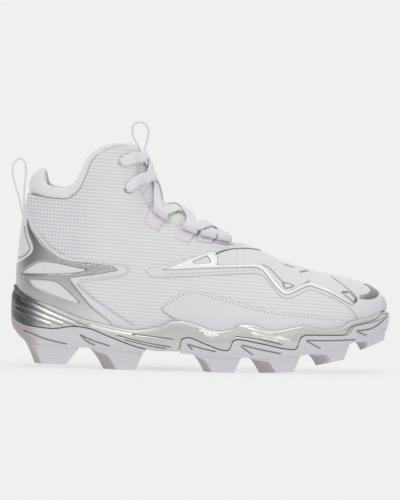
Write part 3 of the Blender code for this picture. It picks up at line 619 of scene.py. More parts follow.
silverColumns = "rear middle front groove fade lean rough metal".split()
silverLooks = {  # colours along the shoe, painted shade and reflection that darken the metal towards the heel (on the dark film towards the toe), and the colour of painted shade in grooves and along cut edges; where they fade and on what lean, then the finish
    "metallised_film": ("#b8b8bb", "#c2c2c4", "#e6e5e2", "#5a595c", (-232, -126), -1.2, 0.3, 0.9),
    "silver_painted_foam": ("#39393b", "#7d7d80", "#dcdbd9", "#4c4b4e", (-149, -121), 0, 0.33, 0.9),
    # white with little metal: a painted highlight standing in for the trim's chrome reflection
    "trim_film_painted_highlight": ("#ffffff", "#ffffff", "#fcfcfc", "#3f3e41", (-30, 120), 0, 0.22, 0.1),
    "dark_film": ("#d0d0d2", "#a4a4a6", "#77777a", "#4c4b4e", (124, 142), 0, 0.25, 0.9),
}
flake = {"size": 0.5, "uneven": 0.03, "bump": 0.03, "deep": 0.2}


def makeSilver(name, look):  # aluminium flake in a clear film: satin, with painted shade and reflection along the shoe and painted shade in grooves
    finish = {"Metallic": look["metal"], "Coat Weight": 0.2, "Coat Roughness": 0.2}
    material, tree, shader, coords = startMaterial(name, finish)
    fleck = addNode(tree, "TexNoise", {"Scale": grainScale(flake["size"]), "Detail": 3.0},
                    {"Vector": coords["Object"]})
    least, most = look["rough"] - flake["uneven"], look["rough"] + flake["uneven"]
    rough = addNode(tree, "MapRange", {"To Min": least, "To Max": most}, {"Value": fleck.outputs["Fac"]})
    place = addNode(tree, "VectorMath", {"operation": "DOT_PRODUCT", 1: (1, 0, look["lean"])},
                    {0: coords["Object"]})
    start, stop = look["fade"]
    along = addNode(tree, "MapRange", {"From Min": start * mm, "From Max": stop * mm},
                    {"Value": place.outputs["Value"]})
    fade = addNode(tree, "ValToRGB", None, {"Fac": along.outputs["Result"]})
    setRamp(fade, (0.0, look["rear"]), (0.55, look["middle"]), (1.0, look["front"]))
    groove = addNode(tree, "Attribute", {"attribute_name": "groove"})
    colour = addNode(tree, "Mix", {"data_type": "RGBA", 7: toLinear(look["groove"])},
                     {0: groove.outputs["Fac"], 6: fade.outputs["Color"]})
    tree.links.new(rough.outputs["Result"], shader.inputs["Roughness"])
    joinShader(tree, shader, colour.outputs[2], flake, fleck.outputs["Fac"])
    return material


rubberLook = {
    "face": "#dfdce2",
    # rear and groove are colours of painted shade: on faces that look back, and in the grooves and split
    # line
    "rear": "#bdb0b6",
    "groove": "#5f5c62",
    "ridge": 2.4,
    "grain": 0.7,
    "grainShare": 0.3,
    "bump": 0.6,
    "deep": 0.4,
}


def makeRubber(look):  # moulded rubber: matt, fine level ridges from the mould and a dull grain, with painted shade on rear faces and in grooves
    material, tree, shader, coords = startMaterial("moulded_rubber", {"Roughness": 0.55, "IOR": 1.52})
    ridges = addNode(tree, "TexWave", {"bands_direction": "Z", "Scale": bandScale(look["ridge"])},
                     {"Vector": coords["Object"]})
    grain = addNode(tree, "TexNoise", {"Scale": grainScale(look["grain"])}, {"Vector": coords["Object"]})
    height = addNode(tree, "Math", {"operation": "MULTIPLY_ADD", 1: look["grainShare"]},
                     {0: grain.outputs["Fac"], 2: ridges.outputs["Fac"]})
    rear, groove = (addNode(tree, "Attribute", {"attribute_name": name}) for name in ("rear", "groove"))
    faces = {"data_type": "RGBA", 6: toLinear(look["face"]), 7: toLinear(look["rear"])}
    face = addNode(tree, "Mix", faces, {0: rear.outputs["Fac"]})
    colour = addNode(tree, "Mix", {"data_type": "RGBA", 7: toLinear(look["groove"])},
                     {0: groove.outputs["Fac"], 6: face.outputs[2]})
    joinShader(tree, shader, colour.outputs[2], look, height.outputs[0])
    return material


knitLook = {"yarn": "#f4f4f4", "shade": "#eaeaea", "loop": 1.2, "bump": 0.15, "deep": 0.3}


def makeKnit(look):  # brushed knit lining: soft, matt, with small loops
    material, tree, shader, coords = startMaterial("brushed_knit", {"Roughness": 0.92, "Sheen Weight": 0.4})
    loops = addNode(tree, "TexVoronoi", {"Scale": grainScale(look["loop"])}, {"Vector": coords["Object"]})
    colour = addNode(tree, "ValToRGB", None, {"Fac": loops.outputs["Distance"]})
    setRamp(colour, (0.2, look["yarn"]), (0.9, look["shade"]))
    joinShader(tree, shader, colour.outputs["Color"], look, loops.outputs["Distance"], invert=True)
    return material


braidBump = {"bump": 0.35, "deep": 0.3}
# tape is the length and girth in mm that the UV map covers
laceLook = {"yarn": "#f6f4fa", "shade": "#ecebf1", "braid": 0.9, "tape": (60, 14)}
webLook = {"yarn": "#eee8ef", "shade": "#e7e1e8", "braid": 1.0, "tape": (22, 12)}
cordLook = {**laceLook, "tape": (90, 6)}


def makeBraid(name, look):  # flat woven tape: a fine herringbone that follows the tape
    material, tree, shader, coords = startMaterial(name, {"Roughness": 0.8, "Sheen Weight": 0.2})
    length, width = look["tape"]
    place = addNode(tree, "Mapping", {"Scale": (length * mm, width * mm, 1)}, {"Vector": coords["UV"]})
    picks = addNode(tree, "TexWave", {"bands_direction": "DIAGONAL", "Scale": bandScale(look["braid"])},
                    {"Vector": place.outputs["Vector"]})
    colour = addNode(tree, "ValToRGB", None, {"Fac": picks.outputs["Fac"]})
    setRamp(colour, (0.1, look["shade"]), (0.7, look["yarn"]))
    joinShader(tree, shader, colour.outputs["Color"], braidBump, picks.outputs["Fac"])
    return material


threadLook = {"thread": "#b4b3b8", "shade": "#8f8e93", "twist": 0.6}


def makeThread(look):  # twisted polyester thread: dull, a little uneven; its grey also paints the shade of the pinholes
    material, tree, shader, coords = startMaterial("polyester_thread_and_pinhole_shade", {"Roughness": 0.7})
    twist = addNode(tree, "TexNoise", {"Scale": grainScale(look["twist"])}, {"Vector": coords["Object"]})
    colour = addNode(tree, "ValToRGB", None, {"Fac": twist.outputs["Fac"]})
    setRamp(colour, (0.3, look["shade"]), (0.7, look["thread"]))
    joinShader(tree, shader, colour.outputs["Color"])
    return material


textile = makeTextile(textileLook)
skinFilm = makeSkinFilm(skinLook)
silverFilm, silverPaint, silverTrim, silverTip = (
    makeSilver(name, dict(zip(silverColumns, values))) for name, values in silverLooks.items())
rubber = makeRubber(rubberLook)
knit = makeKnit(knitLook)
lace = makeBraid("braided_lace", laceLook)
webbing = makeBraid("woven_webbing", webLook)
cord = makeBraid("braided_cord", cordLook)
thread = makeThread(threadLook)
print("materials made")


# upper: the textile wall, punched for the lace, with the soft troughs that wear gives it

upperLook = {
    "cell": (2.0, 0.014),
    "eyelets": ((-64.0, 165.2), (-58.4, 143.3)),
    "eyeletRadius": 3.0,
    "creases": table(  # soft troughs: where each starts and stops, how wide and how deep
        "x z toX toZ wide deep",
        (-62, 112, -44, 121, 6, 0.7),
        (-70, 100, -46, 108, 7, 0.5),
        (-100, 118, -84, 124, 8, 0.5),
        (-30, 62, -12, 84, 9, 0.45),
        (12, 52, 22, 72, 9, 0.4),
        (38, 48, 44, 70, 8, 0.45),
    ),
}


def makeUpper(look):
    def eyeletDepth(points):
        away = [np.hypot(points[:, 0] - x, points[:, 2] - z) for x, z in look["eyelets"]]
        return np.min(away, axis=0) - look["eyeletRadius"]

    def creaseLift(points, depth):
        total = np.zeros(len(points))
        for x, z, toX, toZ, wide, deep in zip(*look["creases"].values()):
            total -= deep * grooveShare([((x, z), (toX, toZ))], wide, points[:, 0], points[:, 2])
        return total

    bm = cutSheet([(-halfRound, halfRound)], (0, 1), look["cell"], eyeletDepth, creaseLift)
    piece = finishPiece("upper_textile", bm, [textile, knit], ["upper"], weld=seamWeld)
    thicken(piece, lastForm["wall"], inner=1)


makeUpper(upperLook)
print("upper made")


# heel counter: white film all round the heel, and the silver counter with its two windows on it

heelLook = {
    "cell": (1.0, 0.008),
    "wall": 0.4,
    "stop": -44,
    "filmShares": (0, 0.97),  # of the wall, from which the sheet is cut
    "counterShares": (0, 0.9),
    "filmRise": (0.05, 0.4, 0.8),  # height at the edge, rise above it and how far in the bend reaches
    "counterRise": (0.45, 0.75, 1.0),
    "borderWide": 0.5,
    "film": (
        (-160, 128, 0), (-138.6, 128, 1), (-134.4, 114.4, 6), (-128, 105, 8), (-121, 97.6, 10),
        (-112, 90.8, 10), (-102, 87.6, 10), (-72, 85, 6), (-58.6, 84, 4), (-54.4, 79.6, 4),
        (-58, 74.6, 4), (-69, 71.8, 4), (-92, 69.2, 3), (-98.4, 67.4, 1), (-86, 57.6, 8), (-69, 45.6, 8),
        (-46.6, 32, 1), (-46.6, 20, 0), (-160, 20, 0),
    ),
    "counter": (
        (-160, 82, 0), (-146, 81.8, 4), (-142, 84, 4), (-133.4, 90.8, 4), (-132.2, 95, 3), (-136, 104, 5),
        (-138, 110, 3), (-138.3, 120, 0.6), (-134, 111, 6), (-128.6, 103.1, 8), (-121, 94.8, 12),
        (-112, 88, 10), (-104, 85.6, 8), (-80, 83.4, 8), (-68.8, 82.1, 2), (-63.9, 78.9, 1),
        (-80, 75.6, 6), (-103, 72.2, 1), (-102.4, 70.4, 1), (-94.9, 61.1, 6), (-86, 50.4, 8),
        (-69, 37.6, 1), (-69, 20, 0), (-160, 20, 0),
    ),
    "windows": (
        ((-141, 74.6, 1), (-135.4, 79.6, 6), (-126, 85, 5), (-112, 83.4, 8), (-98, 80.4, 8),
         (-88.2, 79, 0.6), (-98, 76.4, 4), (-112, 75.4, 6)),
        ((-134.8, 70, 1), (-116, 69.5, 3), (-111, 67.4, 3), (-103.8, 60.9, 6), (-95, 53, 0.8),
         (-98, 52.2, 1), (-115, 57.8, 8), (-131, 64.4, 3)),
    ),
    "border": ((-146, 86.2), (-141, 88), (-136.4, 92.2), (-135.6, 95.4), (-139, 104.4), (-140.6, 112)),
}


def makeHeel(look):
    end = look["stop"] - heelStart
    film, counter = insideOf(look["film"]), insideOf(look["counter"], *look["windows"])
    bm = cutSheet([(-end, end)], look["filmShares"], look["cell"], film, roundedLift(*look["filmRise"]))
    piece = thicken(finishPiece("heel_film", bm, [skinFilm]), look["wall"])
    markGrooves(piece, [smoothLine(look["border"])], look["borderWide"])
    rise = roundedLift(*look["counterRise"])
    bm = cutSheet([(-end, end)], look["counterShares"], look["cell"], counter, rise)
    piece = finishPiece("heel_counter", bm, [silverFilm], ["heel_counter_skin"])
    thicken(piece, look["wall"])


makeHeel(heelLook)
print("heel counter made")


# vamp: the white moulded skin with its creases and vents, and the rubber strip on the toe

vampLook = {
    "cell": (1.0, 0.0075),
    "wall": 0.5,
    "rise": (0.1, 0.8, 1.2),
    "bumperRise": (0.6, 2.2, 5),
    "start": -46,
    "bumperStart": 120,
    "bumperShares": (0, 0.7),
    "markLift": 0.35,  # where the floor of a crease lies off the upper
    "skin": (
        (-43.5, 80, 2), (-40, 74.2, 3), (-9.8, 75, 8), (21.8, 77.3, 8), (46, 78.6, 5), (51.4, 76.4, 3),
        (57.6, 68.8, 5), (63, 62.1, 4), (67, 59.4, 3), (71, 59.2, 3), (76.7, 61.2, 4), (86.8, 66.6, 4),
        (93.6, 65.2, 4), (105, 60.9, 6), (115, 56.1, 5), (121.1, 51.6, 4), (126, 45, 1), (126, 30, 0),
        (145.6, 30, 0), (145.6, 64.8, 1), (170, 64.8, 0), (170, 130, 0), (37, 130, 0), (34, 99.6, 4),
        (24, 98.4, 6), (12, 95.6, 4), (4, 94.6, 4), (-8, 90.2, 6), (-27, 83.6, 4),
    ),
    "creases": (
        ((49.9, 85.1), (55.3, 82.5), (59.9, 78.1), (66, 72), (67.6, 68.4)),
        ((74, 65.6), (80, 68.4), (87.4, 73)),
        ((105, 76.7), (112.7, 71.5), (120.3, 65.6), (124.2, 61.9), (125.6, 58.8), (123, 56.3)),
        ((66.2, 71.8), (68.4, 67.2), (75, 69.4), (66.2, 71.8)),
        ((113.4, 64.8), (118.8, 65), (124.2, 59.8), (123.4, 57.2), (113.4, 64.8)),
    ),
    "vents": table(  # short cuts with painted shade in them, thicker than the creases
        "x z toX toZ wide",
        (68, 85, 74.5, 83.2, 1.7),
        (80.5, 79.6, 86, 80.6, 1.7),
        (114, 64.8, 118.2, 64.9, 1.2),
        (124.6, 60.4, 124, 57.6, 1.2),
    ),
    "creaseWide": 0.9,
    "creaseDeep": 0.55,
    "creaseDark": 0.7,  # share of its width that gets painted shade
    "ventDark": 0.8,
    "bumper": ((144.8, 49.6, 1), (170, 49.6, 0), (170, 66, 0), (144.8, 66, 2)),
}


def makeVamp(look):
    rise = roundedLift(*look["rise"])
    creases = [smoothLine(line) for line in look["creases"]]
    cuts = [(creases, look["creaseWide"], look["creaseDark"])]
    for x, z, toX, toZ, wide in zip(*look["vents"].values()):
        cuts.append(([evenLine(np.array(((x, z), (toX, toZ))), 1.5)], wide, look["ventDark"]))
    sunk = [(laidLines(lines, 0), wide) for lines, wide, _ in cuts]

    def skinLift(points, depth):
        deep = np.max([grooveShare(laid, wide, *points.T) for laid, wide in sunk], axis=0)
        return rise(points, depth) - look["creaseDeep"] * deep

    spans = bothSides(look["start"], toeStop)
    bm = cutSheet(spans, (0, 1), look["cell"], insideOf(look["skin"]), skinLift)
    piece = finishPiece("vamp_moulding", bm, [skinFilm], ["vamp_skin"], weld=seamWeld)
    # painted shade in the creases and vents
    for lines, wide, share in cuts:
        markGrooves(piece, laidLines(lines, look["markLift"]), wide * share)
    thicken(piece, look["wall"])
    bumper, bumperLift = insideOf(look["bumper"]), roundedLift(*look["bumperRise"])
    spans = bothSides(look["bumperStart"], toeStop)
    bm = cutSheet(spans, look["bumperShares"], look["cell"], bumper, bumperLift, dark=0)
    piece = finishPiece("toe_strip", bm, [rubber], ["toe_bumper"], weld=seamWeld)
    thicken(piece, look["wall"])


makeVamp(vampLook)
print("vamp made")


# trim: the silver line on each side and the dark crescent on the toe

trimForm = {
    "cell": (0.8, 0.006),
    "wall": 0.5,
    "rise": (0.85, 0.9, 1.5),
    "crescentRise": (0.8, 0.5, 0.9),
    "span": (-34, 126),
    "shares": (0.1, 1),  # of the wall, from which the sheets are cut
    # edgeDark and crescentDark: strength of the painted shade along the cut edges of the trim and of the
    # crescent
    "edgeDark": 0.9,
    "crescentSpan": (108, toeStop),
    "crescentDark": 0.6,
    "line": table(  # the long silver line and its width
        "x z width",
        (-29.4, 80.2, 1.0), (-20, 81.2, 2.4), (-6, 82.2, 2.8), (10, 82.9, 2.8), (27, 83.3, 2.6),
        (42, 83.8, 2.8), (49, 82.4, 3.2), (54, 78.2, 3.4), (59, 71.8, 3.4), (64, 66.4, 3.4),
        (68.4, 63.4, 3.2), (73, 64, 2.8), (80, 67.4, 2.8), (87.2, 70, 2.8), (95, 68.2, 2.8),
        (104.8, 64.6, 2.8), (115, 59.2, 2.8), (122, 55.4, 2.0),
    ),
    "wedge": (
        (-29, 80.2, 1), (-14.7, 85.9, 4), (-4, 90, 6), (5, 94, 3), (13.6, 94.6, 1), (14.6, 89, 2),
        (14.2, 83.4, 2), (9, 81.6, 1), (-12, 81.4, 4),
    ),
    "window": ((-5.6, 86.4, 0.8), (5.4, 91.2, 1), (9, 86, 0.8), (-3.6, 84.9, 1)),
    "collar": ((13, 93.6), (19, 95.9), (26.2, 97.4), (35.8, 97.8), (44.2, 97), (53, 94.9)),
    "collarWidth": 2.0,
    "collarDark": 0.8,
    "crescentStart": 133.0,  # on the toe's ridge
    "crescentWing": 6.0,  # how much further back it reaches beside the ridge
    "crescentHalf": 12.0,
    "crescent": (
        (127.5, 73.6, 3), (134, 71.6, 4), (139.6, 68.4, 4), (144.4, 64.6, 2), (141.6, 60.4, 3),
        (135, 58.8, 4), (126.4, 59.6, 0.8), (126.4, 62.4, 0.6), (133.4, 63.4, 4), (136.8, 66, 3),
        (134.6, 68.6, 3), (127, 72, 2),
    ),
}


def makeTrim(look):
    line = smoothLine(np.stack([look["line"][name] for name in ("x", "z")], axis=1), perSpan=4)
    collar = smoothLine(look["collar"])
    wedge, crescent = insideOf(look["wedge"], look["window"]), insideOf(look["crescent"])
    rise, crescentLift = (roundedLift(*look[name]) for name in ("rise", "crescentRise"))

    def trimDepth(points):
        x, z = points[:, 0], points[:, 2]
        onLine = read(look["line"], "width", x) / 2 - distanceToLine(line, x, z)
        onCollar = look["collarWidth"] / 2 - distanceToLine(collar, x, z)
        return np.max([onLine, wedge(points), onCollar], axis=0)

    def crescentDepth(points):
        x, y, _ = points.T
        aside = np.clip(np.abs(y - footLine(x)) / look["crescentHalf"], 0, 1) ** 2
        return np.minimum(crescent(points), x - look["crescentStart"] + look["crescentWing"] * aside)

    for word, span in zip(("lateral", "medial"), bothSides(*look["span"])):
        bm = cutSheet([span], look["shares"], look["cell"], trimDepth, rise, dark=look["edgeDark"])
        piece = finishPiece(f"trim_{word}", bm, [silverTrim], [f"vamp_trim_{word}"])
        markGrooves(piece, [collar], look["collarDark"])
        thicken(piece, look["wall"])
    spans = bothSides(*look["crescentSpan"])
    bm = cutSheet(spans, look["shares"], look["cell"], crescentDepth, crescentLift, look["crescentDark"])
    thicken(finishPiece("toe_crescent", bm, [silverTip], weld=seamWeld), look["wall"])


makeTrim(trimForm)
print("trim made")


# smooth film on the forefoot's side, with a row of pinholes along its edge

panelLook = {
    "cell": (1.2, 0.01),
    "span": (-34, 120),
    "shares": (0, 0.6),
    "outline": (
        (-31, 48.6, 2), (-26.6, 53.8, 5), (-20.5, 58.4, 6), (-12.6, 62.9, 6), (-5.9, 64.8, 4),
        (1.4, 63.9, 4), (22.5, 58.4, 8), (44.9, 52.4, 8), (67.4, 48.7, 8), (88, 46.9, 6),
        (107.5, 45.5, 6), (118, 42, 2), (118, 20, 0), (-10, 20, 0), (-10, 36, 4),
    ),
    "rise": (0.02, 0.3, 0.8),
    "wall": 0.3,
    "pinholes": (
        (-20.4, 41.6), (-26.4, 45.4), (-28.8, 48.8), (-26, 52), (-20, 56.4), (-12.6, 60.6), (-5.9, 62.4),
        (1.4, 61.4), (22.5, 56), (44.9, 50.2), (67.4, 46.6), (88, 44.8), (107, 43.2),
    ),
    "pinholeLift": 0.36,
    "pitch": 2.9,
    "pinhole": 0.55,
}


def makePanel(look):
    panel, rise = insideOf(look["outline"]), roundedLift(*look["rise"])
    bm = cutSheet(bothSides(*look["span"]), look["shares"], look["cell"], panel, rise)
    thicken(finishPiece("side_film", bm, [skinFilm]), look["wall"])
    # the pinholes are grey discs: painted shade standing in for the holes
    bm = newMesh()
    for side in (lateral, medial):
        line = evenLine(smoothLine(look["pinholes"]), look["pitch"])
        for point, along, normal in zip(*placeOnUpper(side, line, look["pinholeLift"])):
            bmesh.ops.create_circle(bm, cap_ends=True, segments=8, radius=look["pinhole"] * mm,
                                    matrix=standAt(point, along, normal))
    finishPiece("pinholes", bm, [thread], weld=0.001)


makePanel(panelLook)
print("side film made")


# sole: the lines that midsole and rubber share, then the midsole's tray

soleForm = {
    "rim": 2.4,
    "heelRim": 1.6,
    "wrap": 3.0,
    "plate": 4.0,
    "draft": 2.0,
    "edge": 0.9,  # over which an edge is rounded
    "lineWide": 0.3,  # of the painted shade line between midsole and rubber
    "archRear": -41.6,
    "archFront": -14.0,
    "top": table(
        "x z",
        (-146, 66.8), (-141, 61.6), (-133, 56.2), (-121, 51.4), (-99, 43), (-88, 39.3), (-72, 35.7),
        (-50, 32.3), (-32, 35.2), (-22, 39.8), (-14, 40.4), (0, 37), (16, 33.1), (26, 35), (35, 39.2),
        (44, 38.6), (60, 34.6), (75, 37.4), (83, 39), (101, 36.2), (111, 37.6), (121, 43), (135, 46.2),
        (146, 49.6),
    ),
    "split": table(
        "x z",
        (-146, 42.5), (-140, 36.6), (-133, 33.4), (-115, 31.7), (-99, 33.8), (-88, 32.6), (-70, 26),
        (-50, 19), (-41, 16.9), (-33, 15.8), (-14.6, 15.9), (-13.4, 25), (-8.4, 27), (7, 21.9),
        (22, 17.6), (25, 18.6), (27.6, 25), (31, 26.6), (47, 24.3), (76, 19.6), (79, 21.8), (81, 28.6),
        (86, 31.2), (116, 31.5), (118.6, 34.2), (121, 37.8), (135, 41.8), (142, 44.6), (146, 48),
    ),
    "step": 0.8,  # between stations round the sole
    "heelStep": 0.4,  # closer at the heel, for its ribs
    "heelSpan": 90,
    "sideRows": 64,
}
midsoleLook = {
    "ribs": (  # raised ribs at the heel, then short ones on the waves
        ((-138.1, 56.5), (-112, 45.2), (-88.4, 36.2)),
        ((-140.9, 53.9), (-118, 43.4), (-97.7, 36)),
        ((-146, 50.4), (-126, 42), (-107.8, 35.8)),
        ((-146, 46.5), (-132, 40), (-117.4, 35.3)),
        ((0.5, 33.4), (8, 31), (15.4, 29.2)),
        ((4.6, 30.4), (11.6, 28.4)),
        ((26, 38.4), (36, 36.4), (48, 33.4), (60, 31)),
        ((44, 31.2), (58, 28.8), (74, 26)),
        ((52, 27.8), (64, 25.8)),
        ((-84, 34), (-66, 29.8), (-52, 28)),
    ),
    "lines": (  # fine grooves
        ((-64, 27.4), (-44, 22.6), (-22, 19.4)),
        ((-58, 24), (-40, 20), (-26, 18)),
        ((-52, 28.6), (-34, 27), (-20, 25.6)),
        ((30, 29), (50, 27), (66, 23.6)),
    ),
    "heelRibs": 4,
    "valley": 1.6,  # how far under a heel rib its valley of painted shade runs
    "ribHigh": 0.9,
    "ribWide": 1.1,
    "lineDeep": 0.35,
    "lineWide": 0.7,
    "lineDark": 0.5,  # width of its painted shade
    "valleyWide": 0.6,
    "valleyDark": 0.6,  # how dark its painted shade gets, of 1
    "bead": 0.8,  # along the upper edge
    "beadDown": 1.5,
    "beadWide": 1.1,
    "edgeDeep": 0.7,
    "heelLean": 2.2,  # how far the heel's upper edge leans in
    "leanHigh": 10,
    "limits": (-1, 1.2),  # of all relief together
    "fade": 0.8,  # from the edges, over which relief comes in
    "lip": 0.2,
    "markLift": 0.1,  # of the painted shade line over the split
}


def soleColumns(start, stop):
    step, span = soleForm["step"], soleForm["heelSpan"]
    ends = [start, *(mark for mark in (-span, span) if start < mark < stop), stop]
    runs = []
    for a, b in zip(ends, ends[1:]):
        cell = soleForm["heelStep"] if max(abs(a), abs(b)) <= span else step
        runs.append(np.linspace(a, b, round((b - a) / cell) + 1)[:-1])
    return np.concatenate([*runs, [stop]])


def splitLine(lift):  # where midsole and rubber meet, seen from the side
    x = np.arange(-150, 152, 1.5)
    return np.stack([x, read(soleForm["split"], "z", x) + lift], axis=1)


def soleSide(st, share):  # radius and height up the midsole's side, widest at the rubber's edge
    x = st["surfaceX"]
    low = read(soleForm["split"], "z", x) + lastForm["gap"] / 2
    high = np.maximum(read(soleForm["top"], "z", x), low + 1.0)
    evenLow = np.mean([read(soleForm["split"], "z", x + shift) for shift in range(-18, 19, 3)], axis=0)
    evenLow = np.minimum(evenLow, high - 1)  # without the split's steps, so that the side runs smoothly past
    rim = soleForm["rim"] + soleForm["heelRim"] * st["heel"]
    rimRadius = upperRadius(st, high) + lastForm["gap"] + rim
    z = mix(low, high, share)
    return mix(st["sole"], rimRadius, np.clip((z - evenLow) / (high - evenLow), 0, 1) ** 2), z, low, high


def edgeRound(away, deep):  # how far a side draws in next to its edge
    return deep * np.clip(1 - away / soleForm["edge"], 0, 1) ** 2


def plateUnder(st):
    return read(lastForm["base"], "plate", st["x"] + st["ux"] * (st["sole"] - soleForm["draft"]))


def plateTop(st):
    highest = read(soleForm["split"], "z", st["surfaceX"]) - 2 * lastForm["gap"]
    return np.minimum(plateUnder(st) + soleForm["plate"], highest)


def makeMidsole(look):
    q = soleColumns(-halfRound, halfRound)
    st = stations(q)
    gap = lastForm["gap"]
    ribs, lines = ([smoothLine(line, perSpan=4) for line in look[name]] for name in ("ribs", "lines"))
    _, _, low, high = soleSide(st, 0.0)
    bare = (st["surfaceX"] > soleForm["archRear"] + gap) & (st["surfaceX"] < soleForm["archFront"] - gap)
    core = np.where(bare, low, plateTop(st) + gap)
    inner = st["sole"] - soleForm["wrap"] - gap
    floor = read(lastForm["base"], "floor", st["surfaceX"]) - gap
    column = [atStation(st, 0 * q, core), atStation(st, inner, core), atStation(st, inner, low)]
    for share in np.linspace(0, 1, soleForm["sideRows"]):
        radius, z, *_ = soleSide(st, share)
        x = st["x"] + st["ux"] * radius
        ends = np.minimum(z - low, high - z)
        raised = look["ribHigh"] * grooveShare(ribs, look["ribWide"], x, z)
        raised = raised - look["lineDeep"] * grooveShare(lines, look["lineWide"], x, z)
        raised = raised + look["bead"] * np.exp(-(((high - z - look["beadDown"]) / look["beadWide"]) ** 2))
        raised = np.clip(raised, *look["limits"]) * smoothStep(ends / look["fade"])
        leaning = look["heelLean"] * st["heel"] * smoothStep(1 - (high - z) / look["leanHigh"])
        column.append(atStation(st, radius + raised - edgeRound(ends, look["edgeDeep"]) - leaning, z))
    column.append(atStation(st, upperRadius(st, high) + gap, high - look["lip"]))
    middle = mix(floor, high, 0.5)
    column.append(atStation(st, upperRadius(st, middle) + gap, middle))
    column.append(atStation(st, st["sole"] - lastForm["footInset"] + gap, floor))
    column.append(atStation(st, 0 * q, floor))
    bm = gridMesh(np.stack(column, axis=1))
    piece = finishPiece("midsole_foam", bm, [silverPaint], ["midsole"])
    # painted shade in the fine grooves, in the valleys under the heel ribs and along the split
    markGrooves(piece, lines, look["lineDark"])
    valleys = [rib - (0, look["valley"]) for rib in ribs[:look["heelRibs"]]]
    markGrooves(piece, valleys, look["valleyWide"], look["valleyDark"])
    markGrooves(piece, [splitLine(look["markLift"])], soleForm["lineWide"])


makeMidsole(midsoleLook)
print("midsole made")


# rubber units, each a plate with its side wrap and studs

rubberForm = {
    "studs": table(
        "unit rearRoot rearTip frontTip frontRoot rearZ frontZ scoop",
        (0, -144, -130, -104.5, -93, 3.2, 3.2, 5.4),
        (0, -92.5, -75, -49.5, -42.4, 0, 0, 10.4),
        (1, -9, 5, 29, 35, 0, 0, 6),
        (1, 35.6, 49, 76, 82, 0, 1.6, 13.4),
        (1, 83, 94, 116, 121, 6.6, 11.9, 13),
        (1, 121.8, 129.5, 148.6, 150, 19, 27, 9),
    ),
    "rootInset": 0.6,
    "tipInset": 2.0,
    "rootDepth": 24.0,
    "tipDepth": 12.0,
    "sink": 1.0,
    "hollow": 0.5,
    "twist": 0.3,  # of a stud's height, over which its rear face turns to its full scoop
    "cuts": 21,
    "grooves": (
        ((-139.2, 29.4), (-122, 23.4), (-104.8, 19.7)),
        ((-93.6, 27.2), (-84, 23), (-70.4, 18.9)),
        ((-93, 26.4), (-88, 22), (-82.4, 19.4)),
        ((-8, 21.8), (2, 19), (13.6, 16.7)),
        ((-8, 21), (-4.8, 17.9)),
        ((35.2, 22.3), (50, 19), (65.6, 16.2)),
        ((34.4, 21.1), (43.2, 14.9)),
        ((86.4, 27.1), (104, 27), (124.8, 27.9)),
        ((86.4, 26.3), (96.8, 20.9)),
        ((126.4, 35.1), (136, 36.1), (144, 40), (150.4, 46)),
        ((126.4, 34.3), (133.6, 31.3)),
    ),
    "grooveDeep": 0.7,
    "grooveWide": 0.75,
    "grooveDark": 0.7,  # share of its width that gets painted shade
    "edgeDeep": 0.6,
    "bend": 0.4,  # share of the side's height at which it turns steeper
    "bendDraft": 0.25,  # share of the draft that is left there
    "middle": 1.5,  # half of the least room between a pair of studs
    "sideRows": 44,
    "rearShadeFrom": 0.3,  # how far a face has to look back to count as a rear face, which gets painted shade
    "rearShadeOver": 0.3,
}


def studOuter(x, side, inset):
    y = footLine(x)
    return y + side * (reachToOutline(outline, x, y, 0 * x, side + 0 * x) - soleForm["draft"] - inset)


def addStud(unit, form, stud, side, lines):  # a cut-up cube pulled to the stud's shape, joined to its unit
    bm = newMesh()
    bmesh.ops.create_cube(bm, size=1)
    bmesh.ops.subdivide_edges(bm, edges=bm.edges, cuts=form["cuts"], use_grid_fill=True)
    along, across, down = (np.array([vert.co[i] for vert in bm.verts]) + 0.5 for i in range(3))
    down = 1 - down
    scoop = stud["scoop"] * (1 - across) * np.clip(down / form["twist"], 0, 1)
    rear = mix(stud["rearRoot"], stud["rearTip"], down ** form["hollow"]) + scoop
    x = mix(rear, mix(stud["frontRoot"], stud["frontTip"], down), along)
    ahead = np.clip((x - stud["rearTip"]) / (stud["frontTip"] - stud["rearTip"]), 0, 1)
    tip = mix(stud["rearZ"], stud["frontZ"], ahead)
    z = mix(read(lastForm["base"], "plate", x) + form["sink"], tip, down)
    outer = studOuter(x, side, mix(form["rootInset"], form["tipInset"], down))
    middle = footLine(x) + side * form["middle"]
    back = outer - side * mix(form["rootDepth"], form["tipDepth"], down)
    back = np.maximum(back, middle) if side == medial else np.minimum(back, middle)
    sunk = form["grooveDeep"] * grooveShare(lines, form["grooveWide"], x, z) * (across < 0.01)
    y = mix(outer - side * sunk, back, across)
    for vert, place in zip(bm.verts, inMetres(np.stack([x, y, z], axis=1))):
        vert.co = place
    mesh = toMesh("stud", bm)
    unit.from_mesh(mesh)
    bpy.data.meshes.remove(mesh)


